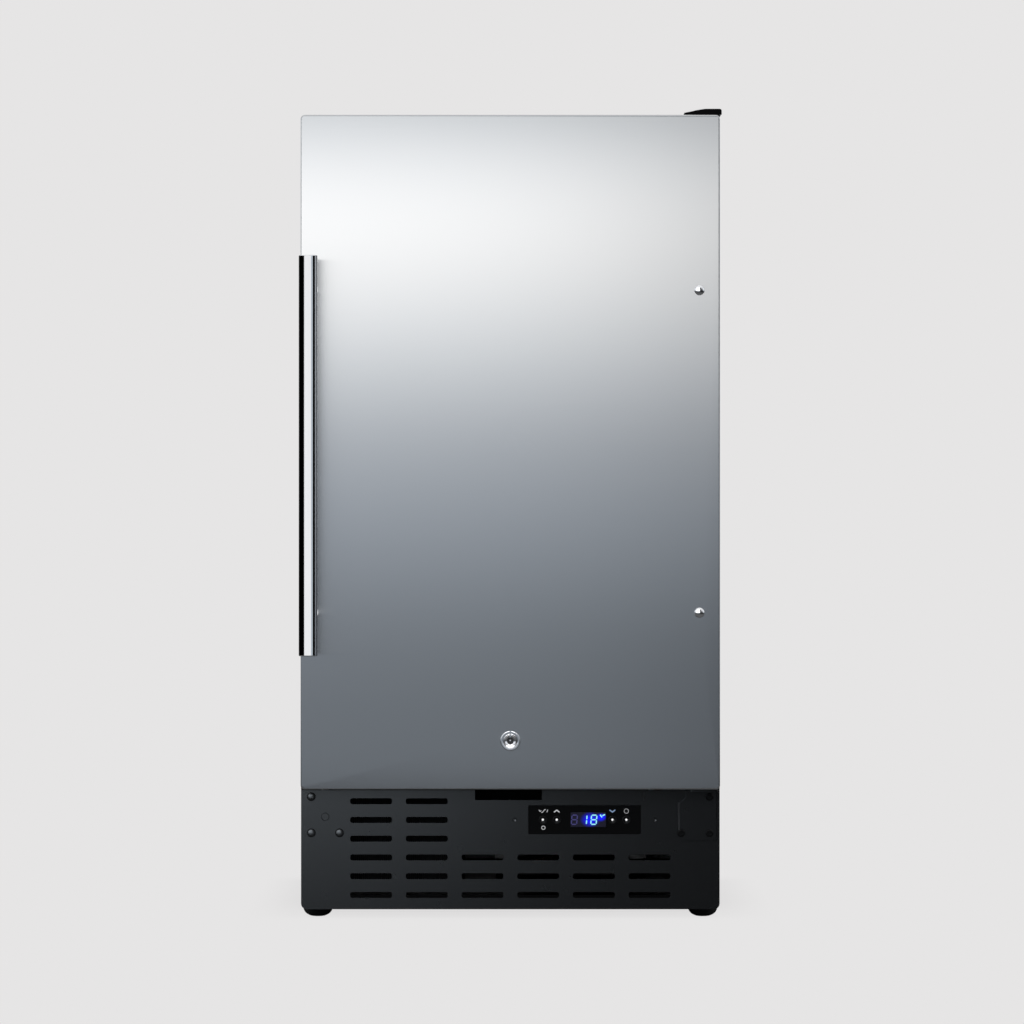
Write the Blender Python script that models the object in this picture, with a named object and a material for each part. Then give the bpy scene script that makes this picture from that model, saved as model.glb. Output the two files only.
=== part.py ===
"""Undercounter refrigerator with a reversible stainless door, a front-breathing machine base,
an electronic thermostat in its kick plate, a key lock and three glass shelves.

Metres, +Z up. The origin is on the floor at the centre of the footprint. The front faces -Y,
and +X is on the right of someone who faces the door."""

import math

import bmesh
import bpy
from mathutils import Matrix, Vector

# Overall size
WIDTH = 0.451
HEIGHT = 0.870
DEPTH = 0.640
CLEARANCE = 0.0003  # between pieces that rest on each other

# Cabinet shell
HALF_WIDTH = WIDTH / 2
BACK = DEPTH / 2
CABINET_FACE = -0.213
CABINET_BOTTOM = 0.0094
CABINET_TOP = 0.862
SHEET = 0.0008
PLATE = 0.0012
PANEL_INSIDE = HALF_WIDTH - SHEET - CLEARANCE
FRAME_BACK = CABINET_FACE + 0.001
FOAM_FACE = FRAME_BACK + CLEARANCE
FOAM_BACK = BACK - 0.0022

# Cold compartment, measured on the foam, with the liner inside it
CAVITY_HALF_WIDTH = 0.190
CAVITY_FLOOR = 0.228
CAVITY_CEILING = 0.832
CAVITY_BACK = 0.268
STEP_FRONT = 0.095
STEP_TOP = 0.290
LINER = 0.002
LINER_HALF_WIDTH = CAVITY_HALF_WIDTH - CLEARANCE - LINER
LINER_FLOOR = CAVITY_FLOOR + CLEARANCE + LINER
LINER_CEILING = CAVITY_CEILING - CLEARANCE - LINER
LINER_BACK = CAVITY_BACK - CLEARANCE - LINER
LEDGE_DEPTH = 0.009
LEDGE_HEIGHT = 0.005
LEDGE_PITCH = 0.075
LOWEST_LEDGE = 0.355
LEDGE_COUNT = 5

# Machine base under the foam
BASE_CEILING = 0.192
REAR_BASE_CEILING = 0.252
REAR_BASE_FRONT = 0.125
REAR_COVER_TOP = 0.2695

# Kick plate
KICK_TOP = 0.1379
KICK_CORNER = 0.006
KICK_BACK = CABINET_FACE + PLATE
SLOT_SIZE = (0.045, 0.0063)
SLOT_COLUMNS = (-0.150, -0.090, -0.030, 0.030, 0.090, 0.150)
SLOT_ROW_LOWEST = 0.0248
SLOT_ROW_PITCH = 0.0202
TALL_COLUMNS = 2
NOTCH = (-0.038, 0.034)
NOTCH_BOTTOM = 0.1271
SCREW_PLACES = ((0.2144, 0.1307), (0.2144, 0.0916), (0.1840, 0.0916))

# Door
DOOR_HALF_WIDTH = 0.2235
DOOR_FACE = -0.268
DOOR_BACK = -0.223
DOOR_BOTTOM = 0.1415
DOOR_TOP = 0.8608
DOOR_SHEET = 0.001
DOOR_CORNER = 0.0045
HINGE_X = 0.2085
HINGE_Y = (DOOR_FACE + DOOR_BACK) / 2
PIN_RADIUS = 0.004
BUSH_BORE = 0.0042
BUSH_RADIUS = 0.006
BUSH_LENGTH = 0.018
GASKET_OUTSIDE = (-0.2045, 0.2045, 0.2085, 0.8475)
GASKET_WIDTH = 0.012

# Handle and the plugs in the spare handle holes
HANDLE_X = -0.2136
HANDLE_RADIUS = 0.0099
HANDLE_Y = -DEPTH / 2 + HANDLE_RADIUS
HANDLE_BOTTOM = 0.2852
HANDLE_TOP = 0.7085
POST_HEIGHTS = (0.3301, 0.6738)
PLUG_X = 0.2015

# Key lock
LOCK_Z = 0.1936
LOCK_FLANGE = 0.011
LOCK_BODY = 0.009
LOCK_BORE = 0.0063
LOCK_PLUG = 0.0061
LOCK_END = DOOR_BACK + 0.002
CAM_REACH = 0.070

# Thermostat panel
PANEL_X = 0.080
PANEL_Z = 0.1058
PANEL_SIZE = (0.1206, 0.0304)
BEZEL_FACE = CABINET_FACE + 0.0005
BEZEL_BACK = BEZEL_FACE + 0.003
BUTTON_OFFSETS = (-0.045, -0.030, 0.030, 0.045)
BUTTON_RADIUS = 0.0044
DISPLAY_X = PANEL_X + 0.004
DISPLAY_SIZE = (0.038, 0.0156)

# Feet
FOOT_X = 0.2083
FOOT_ROWS = (("front", -0.185), ("rear", 0.285))
FOOT_RADIUS = 0.0158
FOOT_FLAT = 0.005

# Fans
CONDENSER_FAN = (-0.125, -0.112, 0.077)
EVAPORATOR_FAN = (0.0, 0.240, 0.722)

ROUND = 24
SMALL_ROUND = 16
TINY_ROUND = 12

# Axis of an extrusion, from (across, up, along) to (x, y, z)
TURNS = {
    "X": Matrix(((0, 0, 1), (1, 0, 0), (0, 1, 0))),
    "Y": Matrix(((1, 0, 0), (0, 0, 1), (0, 1, 0))),
    "Z": Matrix.Identity(3),
}


def clear_scene():
    for obj in list(bpy.data.objects):
        bpy.data.objects.remove(obj, do_unlink=True)


def make_finish(name, color, roughness, metallic=0.0):
    finish = bpy.data.materials.new(name)
    finish.use_nodes = True
    shader = finish.node_tree.nodes["Principled BSDF"]
    shader.inputs["Base Color"].default_value = (*color, 1.0)
    shader.inputs["Roughness"].default_value = roughness
    shader.inputs["Metallic"].default_value = metallic
    finish.diffuse_color = (*color, 1.0)
    return finish


# Outlines


def rectangle(left, right, bottom, top):
    return [(left, bottom), (right, bottom), (right, top), (left, top)]


def rounded(left, right, bottom, top, radius, steps=4):
    """A rectangle with round corners, anticlockwise from the lower right one."""
    corners = (
        (right - radius, bottom + radius, -90),
        (right - radius, top - radius, 0),
        (left + radius, top - radius, 90),
        (left + radius, bottom + radius, 180),
    )
    points = []
    for across, up, start in corners:
        for step in range(steps + 1):
            angle = math.radians(start + 90 * step / steps)
            points.append((across + radius * math.cos(angle), up + radius * math.sin(angle)))
    return points


def rounded_at(across, up, size, radius, steps=4):
    width, height = size
    return rounded(across - width / 2, across + width / 2, up - height / 2, up + height / 2, radius, steps)


def circle(across, up, radius, steps=ROUND):
    turns = (2 * math.pi * step / steps for step in range(steps))
    return [(across + radius * math.cos(turn), up + radius * math.sin(turn)) for turn in turns]


# Solids, each added to a bmesh


def add_stack(bm, axis, levels, closed=False):
    """Skins a row of (outline, height) levels. A closed row joins its last level to its first."""
    turn = TURNS[axis]
    rings = []
    for outline, height in levels:
        rings.append([bm.verts.new(turn @ Vector((*point, height))) for point in outline])
    pairs = list(zip(rings, rings[1:]))
    if closed:
        pairs.append((rings[-1], rings[0]))
    for low, high in pairs:
        count = max(len(low), len(high))
        for step in range(count):
            after = (step + 1) % count
            if len(low) == 1:
                bm.faces.new((low[0], high[after], high[step]))
            elif len(high) == 1:
                bm.faces.new((low[step], low[after], high[0]))
            else:
                bm.faces.new((low[step], low[after], high[after], high[step]))
    if not closed:
        for ring in (rings[0], rings[-1]):
            if len(ring) > 2:
                bm.faces.new(ring)
    return bm


def add_prism(bm, axis, outline, low, high):
    return add_stack(bm, axis, [(outline, low), (outline, high)])


def add_box(bm, low, high):
    return add_prism(bm, "Z", rectangle(low[0], high[0], low[1], high[1]), low[2], high[2])


def add_turned(bm, axis, centre, profile, steps=ROUND, closed=False):
    """Turns a profile of (radius, height) points round an axis through centre."""
    levels = []
    for radius, height in profile:
        outline = circle(*centre, radius, steps) if radius else [centre]
        levels.append((outline, height))
    return add_stack(bm, axis, levels, closed)


def add_cylinder(bm, axis, centre, radius, low, high, steps=ROUND):
    return add_turned(bm, axis, centre, [(radius, low), (radius, high)], steps)


def add_tube(bm, axis, centre, bore, radius, low, high, steps=ROUND):
    profile = [(bore, low), (radius, low), (radius, high), (bore, high)]
    return add_turned(bm, axis, centre, profile, steps, closed=True)


# Objects


def make_object(name, bm, mover=None):
    """Makes an object from world coordinates. A mover is the empty on the piece's joint axis."""
    bmesh.ops.recalc_face_normals(bm, faces=bm.faces)
    mesh = bpy.data.meshes.new(name)
    bm.to_mesh(mesh)
    bm.free()
    mesh.shade_smooth()
    mesh.set_sharp_from_angle(angle=math.radians(35))
    obj = bpy.data.objects.new(name, mesh)
    bpy.context.scene.collection.objects.link(obj)
    if mover:
        obj.parent = mover
        obj.location = -Vector(mover["joint"])
    return obj


def make_part(name, bm, finish, mover=None):
    part = make_object(name, bm, mover)
    part.data.materials.append(finish)
    return part


def make_mover(name, joint, carrier=None):
    """An empty on a joint's axis, at the world point joint."""
    mover = bpy.data.objects.new(name, None)
    bpy.context.scene.collection.objects.link(mover)
    mover["joint"] = Vector(joint)
    mover.location = joint
    if carrier:
        mover.parent = carrier
        mover.location = Vector(joint) - Vector(carrier["joint"])
    return mover


def carve(part, tool, operation="DIFFERENCE"):
    """Cuts the closed solids in tool from the part, or joins them to it."""
    helper = make_object(f"{part.name}_{operation.lower()}", tool)
    helper.parent = part.parent
    helper.location = part.location
    helper.hide_render = True
    helper.display_type = "WIRE"
    modifier = part.modifiers.new(helper.name, "BOOLEAN")
    modifier.operation = operation
    modifier.solver = "EXACT"
    modifier.object = helper
    return part


def join(part, tool):
    return carve(part, tool, "UNION")


clear_scene()
STAINLESS = make_finish("brushed_stainless", (0.62, 0.63, 0.65), 0.3, 1.0)
CHROME = make_finish("chrome", (0.85, 0.86, 0.88), 0.08, 1.0)
BLACK_STEEL = make_finish("black_steel", (0.03, 0.032, 0.035), 0.45)
BLACK_GLOSS = make_finish("black_gloss", (0.008, 0.008, 0.009), 0.15)
BLACK_PLASTIC = make_finish("black_plastic", (0.012, 0.012, 0.014), 0.35)
RUBBER = make_finish("rubber", (0.015, 0.015, 0.015), 0.8)
GASKET = make_finish("gasket", (0.10, 0.10, 0.105), 0.6)
FOAM = make_finish("foam", (0.75, 0.68, 0.45), 0.9)
WHITE_PLASTIC = make_finish("white_plastic", (0.85, 0.86, 0.86), 0.35)
NYLON = make_finish("nylon", (0.80, 0.79, 0.74), 0.4)
ZINC = make_finish("zinc_steel", (0.55, 0.56, 0.55), 0.4, 1.0)
SCREW_BLACK = make_finish("screw_black", (0.02, 0.02, 0.022), 0.35, 0.6)
BUTTON = make_finish("button", (0.05, 0.05, 0.055), 0.3)
SMOKED = make_finish("display_window", (0.01, 0.02, 0.06), 0.1)
BOARD = make_finish("board", (0.02, 0.16, 0.07), 0.5)
GLASS = make_finish("shelf_glass", (0.75, 0.86, 0.83), 0.05)
LENS = make_finish("light_lens", (0.95, 0.95, 0.92), 0.4)
FINS = make_finish("fins", (0.72, 0.73, 0.74), 0.4, 1.0)
COIL_BLACK = make_finish("coil_black", (0.012, 0.012, 0.013), 0.5)
COPPER = make_finish("copper", (0.72, 0.36, 0.22), 0.3, 1.0)
COMPRESSOR_BLACK = make_finish("compressor_black", (0.015, 0.015, 0.016), 0.4)

door = make_mover("door_pivot", (HINGE_X, HINGE_Y, DOOR_BOTTOM))
lock = make_mover("lock_pivot", (0, LOCK_END, LOCK_Z), door)


# Door


def door_outline(inset=0.0, steps=4):
    radius = max(DOOR_CORNER - inset, 0.001)
    return rounded(
        inset - DOOR_HALF_WIDTH,
        DOOR_HALF_WIDTH - inset,
        DOOR_BOTTOM + inset,
        DOOR_TOP - inset,
        radius,
        steps,
    )


def make_door_skin():
    """A folded stainless pan, open at the back, with a small round along its front edges."""
    edge = 0.0014
    rim = DOOR_BACK - 0.003 - CLEARANCE
    levels = [(door_outline(edge), DOOR_FACE)]
    for turn in (30, 60, 90):
        angle = math.radians(turn)
        levels.append((door_outline(edge * (1 - math.sin(angle))), DOOR_FACE + edge * (1 - math.cos(angle))))
    levels.append((door_outline(), rim))
    levels.append((door_outline(DOOR_SHEET), rim))
    levels.append((door_outline(DOOR_SHEET), DOOR_FACE + DOOR_SHEET))
    skin = make_part("door_skin", add_stack(bmesh.new(), "Y", levels), STAINLESS, door)
    holes = bmesh.new()
    front, behind = DOOR_FACE - 0.002, DOOR_FACE + 0.003
    add_cylinder(holes, "Y", (0, LOCK_Z), LOCK_BODY + CLEARANCE, front, behind)
    for height in POST_HEIGHTS:
        add_cylinder(holes, "Y", (PLUG_X, height), 0.0033, front, behind, TINY_ROUND)
        add_cylinder(holes, "Y", (HANDLE_X, height), 0.0033, front, behind, TINY_ROUND)
    for height in (DOOR_BOTTOM, DOOR_TOP):
        centre = (HINGE_X, HINGE_Y)
        add_cylinder(holes, "Z", centre, BUSH_RADIUS + CLEARANCE, height - 0.002, height + 0.002, SMALL_ROUND)
    return carve(skin, holes)


def make_door_foam():
    gap = DOOR_SHEET + CLEARANCE
    outline = door_outline(gap, 2)
    low, high = DOOR_FACE + gap, DOOR_BACK - 0.003 - CLEARANCE
    foam = make_part("door_foam", add_prism(bmesh.new(), "Y", outline, low, high), FOAM, door)
    holes = bmesh.new()
    add_cylinder(holes, "Y", (0, LOCK_Z), LOCK_BODY + CLEARANCE, low - 0.002, high + 0.002)
    for height in POST_HEIGHTS:
        add_cylinder(holes, "Y", (PLUG_X, height), 0.0033, low - 0.002, low + 0.010, TINY_ROUND)
        add_cylinder(holes, "Y", (HANDLE_X, height), 0.0033, low - 0.002, low + 0.010, TINY_ROUND)
    centre, bore = (HINGE_X, HINGE_Y), BUSH_RADIUS + CLEARANCE
    depth = BUSH_LENGTH + 0.001
    add_cylinder(holes, "Z", centre, bore, DOOR_BOTTOM - 0.002, DOOR_BOTTOM + depth, SMALL_ROUND)
    add_cylinder(holes, "Z", centre, bore, DOOR_TOP - depth, DOOR_TOP + 0.002, SMALL_ROUND)
    return carve(foam, holes)


def make_door_liner():
    """The moulded inner panel: a flat edge, and a raised rim that fills the cabinet's mouth."""
    rim = (0.178, 0.244, 0.818)
    rim_width = 0.018

    def rim_outline(inset, radius):
        side, bottom, top = rim
        return rounded(inset - side, side - inset, bottom + inset, top - inset, radius)

    levels = [
        (door_outline(0.0012), DOOR_BACK - 0.003),
        (door_outline(0.0012), DOOR_BACK),
        (rim_outline(0, 0.014), DOOR_BACK),
        (rim_outline(0.003, 0.012), DOOR_BACK + 0.013),
        (rim_outline(0.005, 0.010), DOOR_BACK + 0.015),
        (rim_outline(rim_width - 0.002, 0.010), DOOR_BACK + 0.015),
        (rim_outline(rim_width, 0.010), DOOR_BACK + 0.013),
        (rim_outline(rim_width + 0.003, 0.008), DOOR_BACK + 0.001),
    ]
    liner = make_part("door_liner", add_stack(bmesh.new(), "Y", levels), WHITE_PLASTIC, door)
    hole = bmesh.new()
    add_cylinder(hole, "Y", (0, LOCK_Z), LOCK_BODY + CLEARANCE, DOOR_BACK - 0.005, DOOR_BACK + 0.002)
    return carve(liner, hole)


def make_door_gasket():
    """A magnetic bellows seal, waisted between its two lips."""
    left, right, bottom, top = GASKET_OUTSIDE
    low, high = DOOR_BACK + CLEARANCE, CABINET_FACE - CLEARANCE

    def lip(inset):
        return rounded(left + inset, right - inset, bottom + inset, top - inset, 0.006)

    waist = 0.0025
    shape = [(0, low), (0, low + 0.002), (waist, -0.218), (0, high - 0.002), (0, high)]
    levels = [(lip(inset), height) for inset, height in shape]
    levels += [(lip(GASKET_WIDTH - inset), height) for inset, height in reversed(shape)]
    return make_part("door_gasket", add_stack(bmesh.new(), "Y", levels, closed=True), GASKET, door)


def make_bushes():
    centre = (HINGE_X, HINGE_Y)
    spans = {
        "hinge_bush_lower": (DOOR_BOTTOM + CLEARANCE, DOOR_BOTTOM + BUSH_LENGTH),
        "hinge_bush_upper": (DOOR_TOP - BUSH_LENGTH, DOOR_TOP - CLEARANCE),
    }
    for name, (low, high) in spans.items():
        tube = add_tube(bmesh.new(), "Z", centre, BUSH_BORE, BUSH_RADIUS, low, high, SMALL_ROUND)
        make_part(name, tube, NYLON, door)


def make_handle():
    """A round bar on two turned posts that plug into its back."""
    chamfer = 0.001
    profile = [
        (HANDLE_RADIUS - chamfer, HANDLE_BOTTOM),
        (HANDLE_RADIUS, HANDLE_BOTTOM + chamfer),
        (HANDLE_RADIUS, HANDLE_TOP - chamfer),
        (HANDLE_RADIUS - chamfer, HANDLE_TOP),
    ]
    bar = make_part(
        "handle_bar", add_turned(bmesh.new(), "Z", (HANDLE_X, HANDLE_Y), profile), CHROME, door
    )
    neck, collar, spigot = 0.006, 0.0093, 0.0045
    bar_back = HANDLE_Y + HANDLE_RADIUS
    sockets = bmesh.new()
    for name, height in zip(("handle_post_lower", "handle_post_upper"), POST_HEIGHTS):
        centre = (HANDLE_X, height)
        add_cylinder(sockets, "Y", centre, neck + CLEARANCE, bar_back - 0.004, bar_back + 0.004, SMALL_ROUND)
        foot = DOOR_FACE - CLEARANCE
        profile = [
            (spigot, bar_back - 0.004 + CLEARANCE),
            (neck, bar_back - 0.003),
            (neck, foot - 0.006),
            (collar - 0.001, foot - 0.003),
            (collar, foot - 0.002),
            (collar, foot),
            (0.003, foot),
            (0.003, foot + 0.008),
        ]
        make_part(name, add_turned(bmesh.new(), "Y", centre, profile, SMALL_ROUND), CHROME, door)
    carve(bar, sockets)


def make_handle_plugs():
    """Domed plugs in the handle holes that the other hand of door would use."""
    radius, rise = 0.00545, 0.0026
    rim = DOOR_FACE - CLEARANCE
    for name, height in zip(("handle_plug_lower", "handle_plug_upper"), POST_HEIGHTS):
        profile = [(0.003, rim + 0.008), (0.003, rim), (radius, rim), (radius, rim - 0.0006)]
        for turn in (30, 60):
            angle = math.radians(turn)
            profile.append((radius * math.cos(angle), rim - 0.0006 - (rise - 0.0006) * math.sin(angle)))
        profile.append((0, rim - rise))
        plug = add_turned(bmesh.new(), "Y", (PLUG_X, height), profile, SMALL_ROUND)
        make_part(name, plug, CHROME, door)


def make_lock():
    """A tubular cam lock. Its cam hooks down behind the lip in the kick plate's notch."""
    flange_back = DOOR_FACE - CLEARANCE
    profile = [
        (LOCK_BORE, LOCK_END),
        (LOCK_BODY, LOCK_END),
        (LOCK_BODY, flange_back),
        (LOCK_FLANGE, flange_back),
        (LOCK_FLANGE, flange_back - 0.0012),
        (LOCK_FLANGE - 0.001, flange_back - 0.0022),
        (LOCK_BORE + 0.0012, flange_back - 0.0022),
        (LOCK_BORE, flange_back - 0.0012),
    ]
    barrel = add_turned(bmesh.new(), "Y", (0, LOCK_Z), profile, closed=True)
    make_part("lock_barrel", barrel, CHROME, door)

    face, keyway = flange_back - 0.0016, 0.004
    profile = [
        (LOCK_PLUG, LOCK_END),
        (LOCK_PLUG, face + 0.0004),
        (LOCK_PLUG - 0.0004, face),
        (0.0050, face),
        (0.0050, face + keyway),
        (0.0034, face + keyway),
        (0.0034, face + 0.0003),
        (0.0031, face),
        (0, face),
    ]
    plug = make_part("lock_plug", add_turned(bmesh.new(), "Y", (0, LOCK_Z), profile), CHROME, lock)
    key_notch = bmesh.new()
    add_box(key_notch, (-0.0008, face - 0.001, LOCK_Z + 0.0045), (0.0008, face + keyway, LOCK_Z + 0.0070))
    carve(plug, key_notch)

    blade, half = 0.003, 0.007
    near = LOCK_END + CLEARANCE
    hook = -0.201
    knee = CAM_REACH - 0.010
    outline = [
        (-0.009, near),
        (knee, near),
        (knee, hook - blade),
        (CAM_REACH, hook - blade),
        (CAM_REACH, hook),
        (knee - blade, hook),
        (knee - blade, near + blade),
        (-0.009, near + blade),
    ]
    cam = add_prism(bmesh.new(), "Z", outline, LOCK_Z - half, LOCK_Z + half)
    make_part("lock_cam", cam, ZINC, lock)


# Cabinet


def make_shell():
    """The painted wrap: two sides, a top, a back, a slotted rear cover and a floor pan."""
    for name, side in (("left_side_panel", -1), ("right_side_panel", 1)):
        edges = sorted((side * HALF_WIDTH, side * (HALF_WIDTH - SHEET)))
        low = (edges[0], FOAM_FACE, CABINET_BOTTOM + KICK_CORNER)
        high = (edges[1], BACK, CABINET_TOP - SHEET - CLEARANCE)
        make_part(name, add_box(bmesh.new(), low, high), BLACK_STEEL)
    top = rounded(-HALF_WIDTH, HALF_WIDTH, FOAM_FACE, BACK, 0.002, 2)
    lid = add_prism(bmesh.new(), "Z", top, CABINET_TOP - SHEET, CABINET_TOP)
    make_part("top_panel", lid, BLACK_STEEL)

    inner, outer = FOAM_BACK + CLEARANCE, FOAM_BACK + CLEARANCE + SHEET
    low = (-PANEL_INSIDE, inner, REAR_COVER_TOP + CLEARANCE)
    high = (PANEL_INSIDE, outer, CABINET_TOP - SHEET - CLEARANCE)
    make_part("back_panel", add_box(bmesh.new(), low, high), ZINC)

    low = (-PANEL_INSIDE, inner, CABINET_BOTTOM)
    high = (PANEL_INSIDE, outer, REAR_COVER_TOP)
    cover = make_part("rear_cover", add_box(bmesh.new(), low, high), ZINC)
    openings = bmesh.new()
    for row in range(8):
        for column in (-0.120, 0.0, 0.120):
            if row < 3 and column < 0:
                continue
            slot = rounded_at(column, 0.060 + 0.024 * row, (0.080, 0.006), 0.003, 2)
            add_prism(openings, "Y", slot, inner - 0.002, outer + 0.002)
    inlet = rounded_at(-0.130, 0.065, (0.030, 0.0226), 0.003, 2)
    add_prism(openings, "Y", inlet, inner - 0.002, outer + 0.002)
    carve(cover, openings)


def make_base_pan():
    lip = 0.015
    front, rear = KICK_BACK + 0.0008, FOAM_BACK
    side = HALF_WIDTH - KICK_CORNER
    wall = rectangle(-side, side, front, rear)
    inside = rectangle(PLATE - side, side - PLATE, front + PLATE, rear - PLATE)
    levels = [
        (wall, CABINET_BOTTOM),
        (wall, CABINET_BOTTOM + lip),
        (inside, CABINET_BOTTOM + lip),
        (inside, CABINET_BOTTOM + PLATE),
    ]
    pan = make_part("base_pan", add_stack(bmesh.new(), "Z", levels), BLACK_STEEL)
    holes = bmesh.new()
    for _, across_depth in FOOT_ROWS:
        for side in (-1, 1):
            centre = (side * FOOT_X, across_depth)
            low, high = CABINET_BOTTOM - 0.002, CABINET_BOTTOM + 0.004
            add_cylinder(holes, "Z", centre, 0.0044, low, high, TINY_ROUND)
    carve(pan, holes)


def cavity_outline(inset=0.0, front=FOAM_FACE):
    """The cold compartment seen from its side, with the step over the compressor."""
    return [
        (front, CAVITY_FLOOR + inset),
        (STEP_FRONT - inset, CAVITY_FLOOR + inset),
        (STEP_FRONT - inset, STEP_TOP + inset),
        (CAVITY_BACK - inset, STEP_TOP + inset),
        (CAVITY_BACK - inset, CAVITY_CEILING - inset),
        (front, CAVITY_CEILING - inset),
    ]


def make_foam():
    """The foamed-in-place body, hollow where the liner goes and relieved round the lock recess."""
    side = PANEL_INSIDE
    top = CABINET_TOP - SHEET - CLEARANCE
    recess_top, recess_back = 0.2045, -0.1975
    outline = [
        (FOAM_FACE, top),
        (FOAM_FACE, recess_top),
        (recess_back, recess_top),
        (recess_back, BASE_CEILING),
        (REAR_BASE_FRONT, BASE_CEILING),
        (REAR_BASE_FRONT, REAR_BASE_CEILING),
        (FOAM_BACK, REAR_BASE_CEILING),
        (FOAM_BACK, top),
    ]
    foam = make_part("cabinet_foam", add_prism(bmesh.new(), "X", outline, -side, side), FOAM)
    hollow = bmesh.new()
    add_prism(hollow, "X", cavity_outline(front=FOAM_FACE - 0.01), -CAVITY_HALF_WIDTH, CAVITY_HALF_WIDTH)
    carve(foam, hollow)


def ledge_heights():
    return [LOWEST_LEDGE + LEDGE_PITCH * level for level in range(LEDGE_COUNT)]


def make_liner():
    """A vacuum-formed tub with ledges for the shelves on both side walls."""
    outer = CAVITY_HALF_WIDTH - CLEARANCE
    tub = add_prism(bmesh.new(), "X", cavity_outline(CLEARANCE), -outer, outer)
    liner = make_part("inner_liner", tub, WHITE_PLASTIC)
    hollow = bmesh.new()
    inside = cavity_outline(CLEARANCE + LINER, FOAM_FACE - 0.01)
    add_prism(hollow, "X", inside, -LINER_HALF_WIDTH, LINER_HALF_WIDTH)
    carve(liner, hollow)
    ledges = bmesh.new()
    for height in ledge_heights():
        for side in (-1, 1):
            edges = sorted((side * (LINER_HALF_WIDTH + 0.001), side * (LINER_HALF_WIDTH - LEDGE_DEPTH)))
            add_box(ledges, (edges[0], -0.185, height - LEDGE_HEIGHT), (edges[1], 0.215, height))
    join(liner, ledges)


def make_front_frame():
    """The steel face round the compartment, whose legs stand either side of the lock recess."""
    leg, leg_top = 0.150, 0.203
    bottom = KICK_TOP + CLEARANCE
    outline = [
        (-HALF_WIDTH, bottom),
        (-leg, bottom),
        (-leg, leg_top),
        (leg, leg_top),
        (leg, bottom),
        (HALF_WIDTH, bottom),
        (HALF_WIDTH, CABINET_TOP),
        (-HALF_WIDTH, CABINET_TOP),
    ]
    frame = make_part(
        "front_frame", add_prism(bmesh.new(), "Y", outline, CABINET_FACE, FRAME_BACK), BLACK_STEEL
    )
    mouth = bmesh.new()
    window = rounded(-LINER_HALF_WIDTH, LINER_HALF_WIDTH, LINER_FLOOR, LINER_CEILING, 0.002, 2)
    add_prism(mouth, "Y", window, CABINET_FACE - 0.002, FRAME_BACK + 0.002)
    carve(frame, mouth)


def make_lock_recess():
    """A shallow tray under the compartment's sill, open to the front and the bottom. Its back
    wall hangs behind the kick plate, so that no light shows through the notch."""
    side, top, bottom = 0.1495, 0.2025, KICK_TOP + 0.0006
    back, wall, hem = -0.198, 0.001, 0.122
    tray = add_box(bmesh.new(), (-side, FOAM_FACE, bottom), (side, back, top))
    recess = make_part("lock_recess", tray, BLACK_STEEL)
    room = bmesh.new()
    add_box(room, (wall - side, FOAM_FACE - 0.01, bottom - 0.01), (side - wall, back - wall, top - wall))
    carve(recess, room)
    curtain = bmesh.new()
    add_box(curtain, (-side, back - wall, hem), (side, back, bottom + wall))
    join(recess, curtain)


def kick_outline():
    """The plate with round lower corners and the lock's notch in its top edge."""
    lower = rounded(-HALF_WIDTH, HALF_WIDTH, CABINET_BOTTOM, KICK_TOP, KICK_CORNER)
    arc = len(lower) // 4
    right_corner, left_corner = lower[:arc], lower[-arc:]
    left, right = NOTCH
    top = [
        (HALF_WIDTH, KICK_TOP),
        (right, KICK_TOP),
        (right, NOTCH_BOTTOM),
        (left, NOTCH_BOTTOM),
        (left, KICK_TOP),
        (-HALF_WIDTH, KICK_TOP),
    ]
    return right_corner + top + left_corner


def make_kick_plate():
    plate = add_prism(bmesh.new(), "Y", kick_outline(), CABINET_FACE, KICK_BACK)
    kick = make_part("kick_plate", plate, BLACK_STEEL)
    lip = bmesh.new()
    low = (NOTCH[0] + 0.002, CABINET_FACE + 0.0004, NOTCH_BOTTOM - PLATE)
    add_box(lip, low, (NOTCH[1] - 0.002, -0.2055, NOTCH_BOTTOM - 0.0001))
    join(kick, lip)

    cuts = bmesh.new()
    front, behind = CABINET_FACE - 0.002, KICK_BACK + 0.002
    for column, across in enumerate(SLOT_COLUMNS):
        rows = 6 if column < TALL_COLUMNS else 3
        for row in range(rows):
            slot = rounded_at(across, SLOT_ROW_LOWEST + row * SLOT_ROW_PITCH, SLOT_SIZE, 0.002, 2)
            add_prism(cuts, "Y", slot, front, behind)
    width, height = PANEL_SIZE
    opening = rounded_at(PANEL_X, PANEL_Z, (width + 2 * CLEARANCE, height + 2 * CLEARANCE), 0.001, 2)
    add_prism(cuts, "Y", opening, front, behind)
    for across, up in SCREW_PLACES:
        add_cylinder(cuts, "Y", (-across, up), 0.0024, front, behind, TINY_ROUND)
    carve(kick, cuts)

    marks = bmesh.new()
    add_cylinder(marks, "Y", (-0.199, 0.1087), 0.00465, front, CABINET_FACE + 0.0004, SMALL_ROUND)
    add_box(marks, (NOTCH[1] + 0.0004, front, 0.1218), (0.1446, CABINET_FACE + 0.0004, KICK_TOP + 0.002))
    carve(kick, marks)


def make_corner_screws():
    """Pan-head screws in the holes that the bottom hinge would use on the other side."""
    seat = CABINET_FACE - CLEARANCE
    for number, (across, up) in enumerate(SCREW_PLACES, 1):
        profile = [
            (0.0019, seat + 0.009),
            (0.0019, seat),
            (0.0042, seat),
            (0.0040, seat - 0.0010),
            (0.0030, seat - 0.0018),
            (0.0012, seat - 0.0021),
            (0.0010, seat - 0.0012),
        ]
        screw = add_turned(bmesh.new(), "Y", (-across, up), profile, TINY_ROUND)
        make_part(f"corner_screw_{number}", screw, SCREW_BLACK)


# Hinges


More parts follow.
